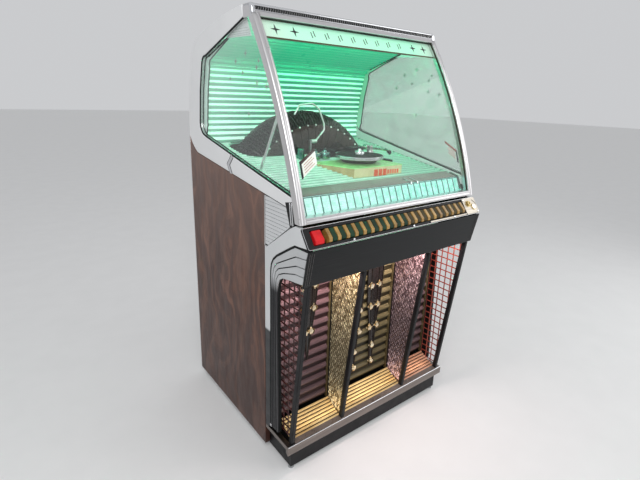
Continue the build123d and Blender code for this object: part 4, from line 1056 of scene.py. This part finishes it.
def rack_point(x, up, proud):
    """A point on the sloping title rack: up its face from the foot, and proud of it."""
    foot_y, foot_z = RACK_FOOT
    return x, foot_y + rack_run.x * up - rack_run.y * proud, foot_z + rack_run.y * up + rack_run.x * proud


def rack_box(shape, x0, x1, low, high, sunk, proud):
    """A box on the title rack between two x, two heights up its face and two depths."""
    shape.loft([[rack_point(x, up, out) for up, out in ((low, sunk), (low, proud), (high, proud),
        (high, sunk))] for x in (x0, x1)])


dividers = Shape()
strips = Shape()
for n in range(COLUMNS + 1):
    x = FIRST_X + n * pitch
    dividers.loft([[rack_point(x - 1.7, up, 0.2), rack_point(x + 1.7, up, 0.2),
        rack_point(x + 1.0, up, 3.0), rack_point(x - 1.0, up, 3.0)] for up in (2, 33, 63)])
for up in (2, 62.5):
    rack_box(dividers, RACK_LOW.x + 2, RACK_HIGH.x - 2, up - 1.6, up + 1.2, 0.2, 2.6)
dividers.piece("title_dividers", DIVIDER, "black_paint", bevel=0.4)
CARD_ROWS, CARD_STEP = 4, 14.8
for n in range(COLUMNS):
    x0, x1 = FIRST_X + n * pitch + 2.2, FIRST_X + (n + 1) * pitch - 2.2
    for row in range(CARD_ROWS):
        low = 4 + row * CARD_STEP
        rack_box(strips, x0, x1, low, low + CARD_STEP - 1, 0.2, 1.2)
strips.piece("title_cards", PAPER, "title_strip", bevel=0.3)
lines = Shape()
random = Random(7)
for n in range(COLUMNS):
    x0 = FIRST_X + n * pitch + 5
    for row in range(CARD_ROWS):
        low = 4 + row * CARD_STEP
        for mark in (3.4, 9.4):
            reach = x0 + (pitch - 10) * random.uniform(0.55, 1.0)
            rack_box(lines, x0, reach, low + mark, low + mark + 1.0, 1.1, 1.4)
lines.piece("title_card_lines", FAINT_INK, "title_strip", smooth=0)

# ---- record magazine tips ----------------------------------------------------------------------
WHEEL = Vector(((WHEEL_LOW.x + WHEEL_HIGH.x) / 2, WHEEL_LOW.y, (WHEEL_LOW.z + WHEEL_HIGH.z) / 2))
RECORD_COUNT = 50
TIP_RING = 298
tips = Shape()
wires = Shape()
FLANGE_Y = 96
WIRE_FROM, WIRE_TO = 168, 290
for n in range(RECORD_COUNT):
    angle = radians(3.6 + n * 360 / RECORD_COUNT)
    x, z = WHEEL.x + TIP_RING * cos(angle), WHEEL.z + TIP_RING * sin(angle)
    tips.turned([(0, 0), (3.4, 0), (3.4, 1.5), (2.6, 3.0), (0, 3.6)], (x, FLANGE_Y, z), (0, -1, 0), 12)
    inner = Vector((cos(angle), 0, sin(angle)))
    start, end = WHEEL + inner * WIRE_FROM, WHEEL + inner * WIRE_TO
    wires.tube([(start.x, FLANGE_Y - 1.6, start.z), (end.x, FLANGE_Y - 1.6, end.z)], 1.1, 6)
tips.piece("magazine_tips", TIP, "magazine_metal", "magazine")
RECORD_R, RING_R, FAN_COUNT = 87, 261, 150
RECORDS_Y = (RECORDS_LOW.y + RECORDS_HIGH.y) / 2
fan = Shape()
for n in range(FAN_COUNT):
    if n % (FAN_COUNT // RECORD_COUNT):
        angle = n * 2 * pi / FAN_COUNT
        place = (WHEEL.x + RING_R * sin(angle), RECORDS_Y, WHEEL.z + RING_R * cos(angle))
        fan.turned([(19, -0.5), (RECORD_R, -0.5), (RECORD_R, 0.5), (19, 0.5)], place,
            (cos(angle), 0, -sin(angle)), 40)
fan.piece("magazine_record_fan", VINYL_DISC, "record_vinyl", "magazine", smooth=30)
wires.piece("magazine_slot_wires", DARK_STEEL, "magazine_metal", "magazine")

# ---- turntable: base front marks, mat, spindle, tone arm ---------------------------------------
platter_x = (PLATTER_LOW.x + PLATTER_HIGH.x) / 2
platter_y = (PLATTER_LOW.y + PLATTER_HIGH.y) / 2
PLATTER_TOP = 1000
mat_profile = [(20, 0), (20, 1.4)]
for n in range(8):
    r = 22 + n * 7.4
    mat_profile += [(r, 2.0), (r + 5.2, 2.0), (r + 6.0, 1.2), (r + 6.8, 1.2)]
mat_profile += [(82, 1.8), (83.4, 0.6), (83.4, 0)]
Shape().loft([[(platter_x + r * cos(t * pi / 24), platter_y + r * sin(t * pi / 24), PLATTER_TOP + h)
    for r, h in mat_profile] for t in range(48)], closed=True).piece(
    "platter_mat", RUBBER, "record_vinyl", "platter")
hub = Shape()
hub.turned([(18.9, 0), (18.9, 9), (17.5, 12), (12, 13.4), (8, 14), (7, 19), (4.5, 22), (0, 23)],
    (platter_x, platter_y, PLATTER_TOP), sides=36)
hub.turned([(84, 0.4), (86.6, 0.2), (87.5, -1), (87.5, -4), (86, -5), (86, -6.4), (87.5, -7.4),
    (87.5, -10.4), (86, -11.4), (80, -11.6)], (platter_x, platter_y, PLATTER_TOP), sides=72)
hub.piece("platter_hub_and_rim", CHROME, "platter_metal", "platter", replaces=("platter",))
Shape().turned([(81, -11), (78, -14), (66, -18), (60, -25.6), (10, -25.8)],
    (platter_x, platter_y, PLATTER_TOP), sides=48).piece(
    "platter_underside", DARK_STEEL, "platter_metal", "platter")

base_marks = Shape()
FRONT_Y, MARK_Z = -197, 950
mark_x = 24
for width, height in ((19, 24), (16, 24), (18, 24), (8, 15), (8, 15), (8, 15), (8, 15), (8, 15)):
    low_z, high_z = MARK_Z - height / 2, MARK_Z + height / 2
    base_marks.box((mark_x, FRONT_Y - 0.8, low_z), (mark_x + width, FRONT_Y + 0.5, high_z))
    mark_x += width + 4
base_marks.piece("turntable_front_marks", ORANGE_INK, "key_red", bevel=1.2)
Shape().prism_z([(-68, -198), (163, -198), (183, -15.5), (-120, -15.5)], 969.5, 972.6).piece(
    "turntable_top_plate", LIME, "cream_enamel", bevel=1.0)
base_skin = softened("turntable_base", "turntable_base_skin", CREAM, 1.2)
base_skin.data.materials.append(TAN)
base_skin.data.materials.append(STEEL)
BASE_REAR_Y = -10
for face in base_skin.data.polygons:
    if face.center.y > BASE_REAR_Y * MM:
        face.material_index = 2
    elif face.normal.x < -0.4:
        face.material_index = 1

ARM_PIVOT = Vector((158, -34, 990))
arm = Shape()
arm.turned([(15, -17.4), (15, -3), (13, 0), (12, 18), (9, 20), (9, 30), (6, 33), (0, 34)], ARM_PIVOT,
    sides=28)
arm.tube([(160, -18, 1014), (158, -34, 1014), (166, -80, 1013), (169, -112, 1012), (162, -130, 1011),
    (148, -150, 1010)], 4.2, 10)
arm.turned([(9, 0), (10, 2), (10, 20), (8, 22)], (156.5, -20, 1014), (-0.15, 1, 0), 20)
arm.piece("tone_arm_tube", SATIN, "arm_metal", "tone_arm", replaces=("tone_arm",))
head = Shape()
head.loft([[(x, y, z) for x, y in ((152, -142), (138, -164), (128, -158), (142, -136))]
    for z in (1007, 1015)])
head.box((133, -160, 1003), (140, -154, 1007))
head.piece("tone_arm_head", BLACK, "arm_metal", "tone_arm", bevel=1.2)

gear = Shape()
for x, y in ((-76, 8), (-28, 14)):
    gear.turned([(19.6, 0), (20.2, 2), (20.2, 20), (18, 24), (9, 25), (8, 30), (3, 31), (3, 36), (0, 36)],
        (x, y, deck_z(34) + 2), sides=32)
gear.turned([(0, 0), (15, 0), (15, 34), (11, 38), (0, 38)], (-118, 40, deck_z(40)), sides=24)
gear.piece("changer_motors", TEAL, "grey_steel")
block = Shape()
block.box((96, 6, deck_z(6)), (150, 46, deck_z(46) + 34))
block.box((-8, 30, deck_z(30)), (40, 66, deck_z(66) + 26))
block.box((170, -120, deck_z(-120)), (196, -60, deck_z(-60) + 16))
block.piece("changer_boxes", BLACK, "black_paint", bevel=2.0)
wires = Shape()
wires.tube([(-60, 20, deck_z(20) + 4), (-40, 50, deck_z(50) + 10), (10, 58, deck_z(58) + 34),
    (60, 40, deck_z(40) + 20), (110, 20, deck_z(20) + 36)], 1.8, 8)
wires.tube([(30, -10, deck_z(-10) + 4), (60, 16, deck_z(16) + 16), (118, 30, deck_z(30) + 20)], 1.5, 8)
wires.piece("changer_leads", RUBBER, "black_paint")

PLAQUE_X, PLAQUE_W, PLAQUE_H, PLAQUE_RISE = 346, 54, 43, 33
PLAQUE_FOOT_Z = 982


def plaque(shape, a, b, low, high, inset, side):
    """Part of a slanting plaque behind the lid glass: a to b across it, low to high up it."""
    rings = []
    for across in (a, b):
        x = side * (PLAQUE_X - across)
        lift = PLAQUE_FOOT_Z + PLAQUE_RISE * across / PLAQUE_W
        rings.append([(x, lid_y(lift + z, depth), lift + z) for z, depth in ((low, inset), (high, inset),
            (high, inset + 1.6), (low, inset + 1.6))])
    shape.loft(rings)


for side, label in ((-1, "left"), (1, "right")):
    frame_part, face_part, head_part, line_part = Shape(), Shape(), Shape(), Shape()
    plaque(frame_part, -5, 1, -1, PLAQUE_H + 1, 13.2, side)
    plaque(face_part, 0, PLAQUE_W, 0, PLAQUE_H - 8, 13.6, side)
    plaque(head_part, 0, PLAQUE_W, PLAQUE_H - 8.2, PLAQUE_H, 13.2, side)
    for row in range(4):
        plaque(line_part, 8, PLAQUE_W - 8 - 6 * (row % 2), 6 + row * 7, 8 + row * 7, 13.2, side)
    frame_part.piece(f"plaque_edge_{label}", BLACK, "black_paint", "lid")
    face_part.piece(f"plaque_face_{label}", WHITE if side < 0 else FRONT_GLASS, "title_strip", "lid")
    head_part.piece(f"plaque_head_{label}", RED_BAR, "key_red", "lid")
    line_part.piece(f"plaque_lines_{label}", PALE_INK, "key_red", "lid")

# ---- keyboard ----------------------------------------------------------------------------------
KEY_COUNT = 20
KEY_SHARE = 0.78


def narrower_key(middle):
    """A change that draws a key in to a share of its width around its own middle."""
    return lambda x, y, z: (middle + (x - middle) * KEY_SHARE, y, z)


key_centres = []
for index in range(KEY_COUNT):
    name = f"key_{index + 1:02d}"
    low, high = extent(name)
    middle = (low.x + high.x) / 2
    key_centres.append(middle)
    softened(name, f"{name}_tongue", AMBER, 1.3, name, narrower_key(middle))
softened("key_reset", "key_reset_tongue", RED, 2.0, body="key_reset")

faces_green, faces_olive = Shape(), Shape()
for index, x in enumerate(key_centres[:-1]):
    x0, x1 = x + 8.1, key_centres[index + 1] - 8.1
    target = faces_green if index < 10 else faces_olive
    target.loft([[slope_point(u, v, n) for u, n in ((x0, -6), (x1, -6), (x1, top), (x0, top))]
        for v, top in ((-20, 0), (-18, 4.4), (-9, 7.4), (20, 1.8))])
faces_green.piece("key_faces_green", KEY_GREEN, "black_vinyl", bevel=1.0)
faces_olive.piece("key_faces_olive", KEY_OLIVE, "black_vinyl", bevel=1.0)

rim = Shape()
half_l, half_w = (TRAY_HIGH.x - TRAY_LOW.x) / 2 - 1.2, 31
rim_path = []
for cx, cy, start in ((half_l - 6, half_w - 6, 0), (6 - half_l, half_w - 6, 90),
        (6 - half_l, 6 - half_w, 180), (half_l - 6, 6 - half_w, 270)):
    for turn in range(4):
        angle = radians(start + 30 * turn)
        rim_path.append(slope_point(cx + 6 * cos(angle), cy + 6 * sin(angle), 0.3))
rim.tube(rim_path, 0.8, 8, closed=True)
rim.piece("keyboard_rim", CHROME, "chrome_trim")

Shape().slope_box((112, 311), (-29.5, -24), (0.2, 2.4)).piece(
    "keyboard_front_strip", BEIGE, "aluminium_plate", bevel=0.7)

screws = Shape()
out = Vector(slope_point(0, 0, 1)) - Vector(slope_point(0, 0, 0))
for u, v in ((-226, -26.4), (30, -26.4), (240, -26.4), (320, 24), (380, -24)):
    lift = 3.2 if u > 312 else (2.2 if u > 110 else 0)
    screws.turned([(3.6, 0), (3.6, 0.8), (2.6, 2.0), (1.0, 2.3), (0, 2.3)], slope_point(u, v, lift), out,
        18)
screws.piece("keyboard_screws", CHROME, "chrome_trim")
nut = Shape()
nut.turned([(13, 0), (13, 1.0), (11, 1.6), (9.4, 1.6), (9.4, 6), (8, 7.2), (4.4, 7.4), (4.0, 5), (0, 5)],
    slope_point(338, 8, 3.3), out, 6)
nut.turned([(12, 0), (12, 1.2), (10.4, 1.8), (9.4, 1.8), (9.4, 0.2)], slope_point(362, -6, 3.2), out, 32)
nut.piece("coin_button_and_lock_ring", BRASS, "chrome_trim")

# ---- black front panel -------------------------------------------------------------------------
PANEL_NOSE_Y = -391.2
softened("front_panel", "front_panel_skin", VINYL, 1.2,
    change=lambda x, y, z: (x, max(y, PANEL_NOSE_Y), z))


def panel_point(x, z, proud=0.0):
    """A point on the black front panel's face, or proud of it."""
    return x, panel_back_y(z) - 6.5 - proud, z


flutes = Shape()
for x in (-383, -377, -369, 371, 379, 384):
    flutes.tube([panel_point(x, z, -0.9) for z in (692, 745, 796)], 1.5, 8)
flutes.piece("front_panel_flutes", PLATE, "black_paint")

# ---- grille: bar edges, lattices, expanded-metal fins, slatted backs, floors, ornaments --------
BAR_W = 14
bar_caps = Shape()
for bar_x in (-OUTER_BAR_X, -BAY_X, BAY_X, OUTER_BAR_X):
    half = BAR_W / 2 - 1.4
    bar_caps.loft([[(bar_x - half, grille_y(z) - 0.1, z), (bar_x - half + 1.6, grille_y(z) - 1.6, z),
        (bar_x + half - 1.6, grille_y(z) - 1.6, z), (bar_x + half, grille_y(z) - 0.1, z)]
        for z in (SILL_Z + 1, 400, 688)])
bar_caps.piece("grille_bar_caps", BLACK, "black_paint")

lattice = Shape()
LATTICE_PITCH = 26
BAY_BACK_Y = -215
for row in range(22):
    z = 128 + row * LATTICE_PITCH
    front = grille_y(z) + 14
    lattice.tube([(-OUTER_BAR_X, front, z), (-366.6, (front + BAY_BACK_Y) / 2, z),
        (-OUTER_BAR_X, BAY_BACK_Y, z)], 2.3, 7)
for column in range(7):
    top_y = BAY_BACK_Y - column * LATTICE_PITCH
    low = 122 if top_y > grille_y(122) + 15 else None
    if low is None:
        lean = (grille_y(BAY_TOP_Z) - GRILLE_FOOT_Y) / (BAY_TOP_Z - SILL_Z)
        low = SILL_Z + (top_y - 15 - GRILLE_FOOT_Y) / lean
    if low < 670:
        lattice.tube([(-364.4, top_y, low), (-363.8, top_y, (low + BAY_TOP_Z) / 2),
            (-364.4, top_y, BAY_TOP_Z)], 2.3, 7)
lattice.piece("red_lattices", RED_BAR, "red_lattice", replaces=("side_lattices",), both=True)


def expanded_sheet(shape, x, pitch_y, pitch_z, strand):
    """A thin sheet with rows of zigzag strands standing out on both its faces."""
    foot_z = 124
    shape.prism_x([(grille_y(BAY_TOP_Z) + 15, BAY_TOP_Z), (grille_y(foot_z) + 15, foot_z),
        (BAY_BACK_Y - 1, bay_floor_z(BAY_BACK_Y) + 4), (BAY_BACK_Y - 1, BAY_TOP_Z)], x - 0.4, x + 0.4)
    for row in range(int((BAY_TOP_Z - foot_z) / pitch_z)):
        z = foot_z + 6 + row * pitch_z
        first = int((grille_y(z) + 16 - BAY_BACK_Y) / (pitch_y / 2))
        for side in (-1, 1):
            rings = []
            for n in range(first, 1):
                swing = pitch_z / 2 * (1 if (n + row) % 2 else -1)
                proud = side * (1.0 if (n + row) % 2 else 3.4)
                y = BAY_BACK_Y + n * pitch_y / 2
                rings.append([(x, y, z + swing - strand / 2), (x + proud, y, z + swing - strand / 4),
                    (x + proud, y, z + swing + strand / 4), (x, y, z + swing + strand / 2)])
            if len(rings) > 1:
                shape.loft(rings)


fin = Shape()
expanded_sheet(fin, -BAY_X, 15, 10.4, 4.2)
fin.piece("gold_mesh_fin", GOLD, "gold_sheet", smooth=0, replaces=("grille_fins",))
fin = Shape()
expanded_sheet(fin, BAY_X, 15, 10.4, 4.2)
fin.piece("mauve_mesh_fin", MAUVE, "mauve_rib", smooth=0)

SLAT_STEP = 36
BACK_TOP_Z, BACK_LOW_Z = 686, 146


def slatted_back(x0, x1, name, finish, painted_shade_finish, slot, replaces=()):
    """A back wall of overlapping rounded slats, with painted shade on their undersides."""
    curve = ((0, 9), (0.07, 3.5), (0.16, 0.8), (0.28, 0), (0.42, 0.8), (0.52, 3), (0.62, 6.5), (0.8, 9))
    outline, dark = [], []
    top = BACK_TOP_Z
    while top > BACK_LOW_Z:
        for n, (t, inset) in enumerate(curve):
            outline.append((BAY_BACK_Y + inset, top - SLAT_STEP * t))
            # faces with painted shade: the slats' undersides
            dark.append(n >= 4)
        top -= SLAT_STEP
    outline += [(BAY_BACK_Y + 12, outline[-1][1]), (BAY_BACK_Y + 12, outline[0][1])]
    wall = Shape().prism_x(outline, x0, x1).piece(name, finish, slot, smooth=60, replaces=replaces)
    second_finish(wall, painted_shade_finish, dark)


slatted_back(-BAY_END_X, -BAY_X - 3, "left_bay_slats", MAUVE_RIB, MAUVE_RIB_PAINTED_SHADE, "mauve_rib", ("bay_panels",))
slatted_back(-BAY_X + 3, BAY_X - 3, "middle_bay_slats", GOLD_RIB, GOLD_RIB_PAINTED_SHADE, "gold_rib")
slatted_back(BAY_X + 3, BAY_END_X, "right_bay_slats", MAUVE_RIB, MAUVE_RIB_PAINTED_SHADE, "mauve_rib")

posts = Shape()
for x in (-BAY_X - 14, BAY_X - 18, 350):
    posts.box((x, BAY_BACK_Y - 3, 150), (x + 6, BAY_BACK_Y + 6, BAY_TOP_Z))
for x in (-BAY_X + 6, BAY_X + 8):
    posts.box((x, BAY_BACK_Y - 3, 150), (x + 4, BAY_BACK_Y + 6, BAY_TOP_Z))
posts.piece("bay_edge_strips", BRONZE_EDGE, "gold_sheet", bevel=0.8)
posts = Shape()
for x in (-BAY_X - 5.6, BAY_X - 9.4, 358.4):
    posts.box((x, BAY_BACK_Y - 2, 150), (x + 3.4, BAY_BACK_Y + 6, BAY_TOP_Z))
posts.piece("bay_edge_shadows", BLACK, "black_paint")


def ribbed_floor(x0, x1, name, finish, slot, replaces=()):
    """The sloping floor of a bay with rounded ribs along X and painted shade in the gaps."""
    start = (BAY_BACK_Y + 1, bay_floor_z(BAY_BACK_Y))
    end = (GRILLE_FOOT_Y + 12, SILL_Z + 2.5)
    ribs, steps = 7, 8
    outline, dark = [], []
    for n in range(ribs * steps + 1):
        t = n / (ribs * steps)
        rise = 5 * abs(sin(pi * n / steps)) ** 0.6 - 3
        outline.append((start[0] + (end[0] - start[0]) * t, start[1] + (end[1] - start[1]) * t + rise))
        # faces with painted shade: the gaps between ribs
        dark.append(n % steps in (0, 1, steps - 1))
    outline += [(y, z - 4) for y, z in (outline[-1], outline[0])]
    tray = Shape().prism_x(outline, x0, x1).piece(name, finish, slot, smooth=60, replaces=replaces)
    second_finish(tray, FLOOR_RIB_PAINTED_SHADE, dark)


ribbed_floor(-BAY_END_X, -BAY_X - 4, "left_bay_floor", FLOOR_RIB, "gold_rib", ("bay_floor",))
ribbed_floor(-BAY_X + 4, BAY_X - 4, "middle_bay_floor", FLOOR_RIB, "gold_rib")
ribbed_floor(BAY_X + 4, BAY_END_X, "right_bay_floor", ROSE_FLOOR, "gold_rib")


def v_plate(shape, rods, stars, middle, outline, rows):
    """A black V with dark edge rods and rows of jewelled stars."""
    face = BAY_BACK_Y - 4
    shape.prism_y([(middle - w, z) for w, z in outline] + [(middle + w, z) for w, z in outline[::-1]], face,
        face + 2)
    for side in (-1, 1):
        rods.tube([(middle + side * (w - 2), face - 1, z) for w, z in outline], 1.5, 8)
        rods.tube([(middle + side * w * 0.45, face - 1, z) for w, z in outline], 1.3, 8)
    for z, apart in rows:
        for side in ((-1, 1) if apart else (0,)):
            x = middle + side * apart
            stars.star((x, face - 2, z), 16.5, 10, 5)
            stars.turned([(0, 0), (12.5, 0), (13, 2), (11, 6.5), (6, 10), (0, 11)], (x, face - 3, z),
                (0, -1, 0), 8)


Shape().box((-368, -350, 728), (368, BAY_BACK_Y, 730)).piece("bay_ceiling", WHITE, "gold_rib", bevel=0.4)
Shape().box((-370, 370, 1026), (370, 376.5, 1058)).piece(
    "rear_light_baffle", BLACK, "black_paint", bevel=0.5)
WIDE_V = ((44, BAY_TOP_Z), (41, 600), (35, 481), (21, 389), (6, 200))
SHORT_V = ((42, BAY_TOP_Z), (37, 595), (29, 516), (16, 434), (2, 338))
WIDE_ROWS = ((636, 22), (540, 20), (458, 18), (372, 19), (292, 0), (224, 0))
SHORT_ROWS = ((610, 24), (529, 21), (446, 12))
plates, rods, stars = Shape(), Shape(), Shape()
for middle, outline, rows in ((-258, SHORT_V, SHORT_ROWS), (-45, WIDE_V, WIDE_ROWS),
        (45, WIDE_V, WIDE_ROWS), (258, SHORT_V, SHORT_ROWS)):
    v_plate(plates, rods, stars, middle, outline, rows)
plates.piece("ornament_v_plates", PLATE, "dark_plate", replaces=("ornament_plates",))
rods.piece("ornament_rods", DARK_STEEL, "dark_plate")
stars.piece("ornament_stars", JEWEL, "chrome_trim", smooth=20)

# ---- sill, rear panel fixings ------------------------------------------------------------------
softened("base_sill", "sill_skin", SILL, 1.6)
Shape().tube([(-387, SILL_LOW.y + 2.5, SILL_Z - 1.2), (387, SILL_LOW.y + 2.5, SILL_Z - 1.2)], 2.2,
    10).piece("sill_lip", CHROME, "chrome_trim")
along_x("sill_ledge", SILL_DARK, "chrome_trim",
    [(-303, SILL_Z + 0.2), (-303, SILL_Z + 1), (-284, SILL_Z + 4.5), (-284, SILL_Z + 1)], -357, 357)

fixings = Shape()
for x in (-355, -180, 0, 180, 355):
    for z in (110, 560, 1020):
        fixings.turned([(6, 0), (6, 0.8), (4.6, 2.4), (1.4, 3.0), (0, 3.0)], (x, 388, z), (0, 1, 0), 18)
fixings.piece("rear_panel_screws", STEEL, "glide_steel")
battens = Shape()
for z in (98, 1034):
    battens.box((-366, 388, z - 5), (366, 390.5, z + 5))
battens.piece("rear_panel_battens", BOARD, "rear_board", bevel=0.8)

# ---- floor, light and camera -------------------------------------------------------------------
FLOOR_HALF = 30
floor_mesh = bpy.data.meshes.new("studio_floor")
corners = [(-FLOOR_HALF, -FLOOR_HALF, 0), (FLOOR_HALF, -FLOOR_HALF, 0), (FLOOR_HALF, FLOOR_HALF, 0),
    (-FLOOR_HALF, FLOOR_HALF, 0)]
floor_mesh.from_pydata(corners, [], [(0, 1, 2, 3)])
floor = bpy.data.objects.new("studio_floor", floor_mesh)
bpy.context.scene.collection.objects.link(floor)
floor_mesh.materials.append(PALE_FLOOR)

world = bpy.data.worlds.new("studio")
bpy.context.scene.world = world
world.use_nodes = True
world.node_tree.nodes["Background"].inputs["Color"].default_value = (0.8, 0.81, 0.83, 1)
world.node_tree.nodes["Background"].inputs["Strength"].default_value = 0.74


def soft_light(name, place, target, size, power, color=(1, 1, 1), hidden=False):
    """An area light that looks from place to target, both in millimetres."""
    lamp = bpy.data.lights.new(name, "AREA")
    lamp.shape = "RECTANGLE"
    lamp.size, lamp.size_y = size
    lamp.energy = power
    lamp.color = color
    thing = bpy.data.objects.new(name, lamp)
    bpy.context.scene.collection.objects.link(thing)
    thing.location = Vector(place) * MM
    thing.rotation_euler = (Vector(target) - Vector(place)).to_track_quat("-Z", "Y").to_euler()
    thing.visible_camera = False
    thing.visible_glossy = not hidden


soft_light("key_light", (-1900, -2300, 2700), (0, 0, 800), (1.8, 1.8), 55)
soft_light("fill_light", (2300, -1700, 1700), (0, 0, 700), (2.2, 2.2), 18)
MINT, WARM, ROSE = (0.45, 1.0, 0.72), (1.0, 0.8, 0.55), (1.0, 0.82, 0.8)
soft_light("hood_lamp", (0, -62, 1384), (0, 160, 1120), (0.62, 0.04), 2.4, (0.2, 1.0, 0.58), True)
soft_light("deck_lamp", (0, -262, 906), (0, 60, 1150), (0.62, 0.04), 0.9, MINT, True)
soft_light("bay_lamp", (0, -338, BAY_TOP_Z), (0, -240, 430), (0.66, 0.04), 2.6, ROSE, True)
soft_light("bay_floor_lamp", (0, -284, 128), (0, -225, 190), (0.66, 0.02), 0.35, WARM, True)

CAMERA_PLACE = Vector((-1.02317, -1.25103, 1.19248))
YAW, PITCH, ROLL = radians(-38.17), radians(-16.17), radians(1.86)
forward = Vector((-sin(YAW) * cos(PITCH), cos(YAW) * cos(PITCH), sin(PITCH)))
right = Vector((cos(YAW), sin(YAW), 0))
up = right.cross(forward)
side_axis = right * cos(ROLL) + up * sin(ROLL)
top_axis = up * cos(ROLL) - right * sin(ROLL)
camera = bpy.data.objects.new("photo_camera", bpy.data.cameras.new("photo_camera"))
bpy.context.scene.collection.objects.link(camera)
camera.matrix_world = Matrix((side_axis, top_axis, -forward)).transposed().to_4x4()
camera.location = CAMERA_PLACE
camera.data.sensor_width = 36
camera.data.lens = 24.39
camera.data.shift_x = -0.0033
camera.data.shift_y = -0.0258
bpy.context.scene.camera = camera
bpy.context.scene.view_settings.view_transform = "Standard"
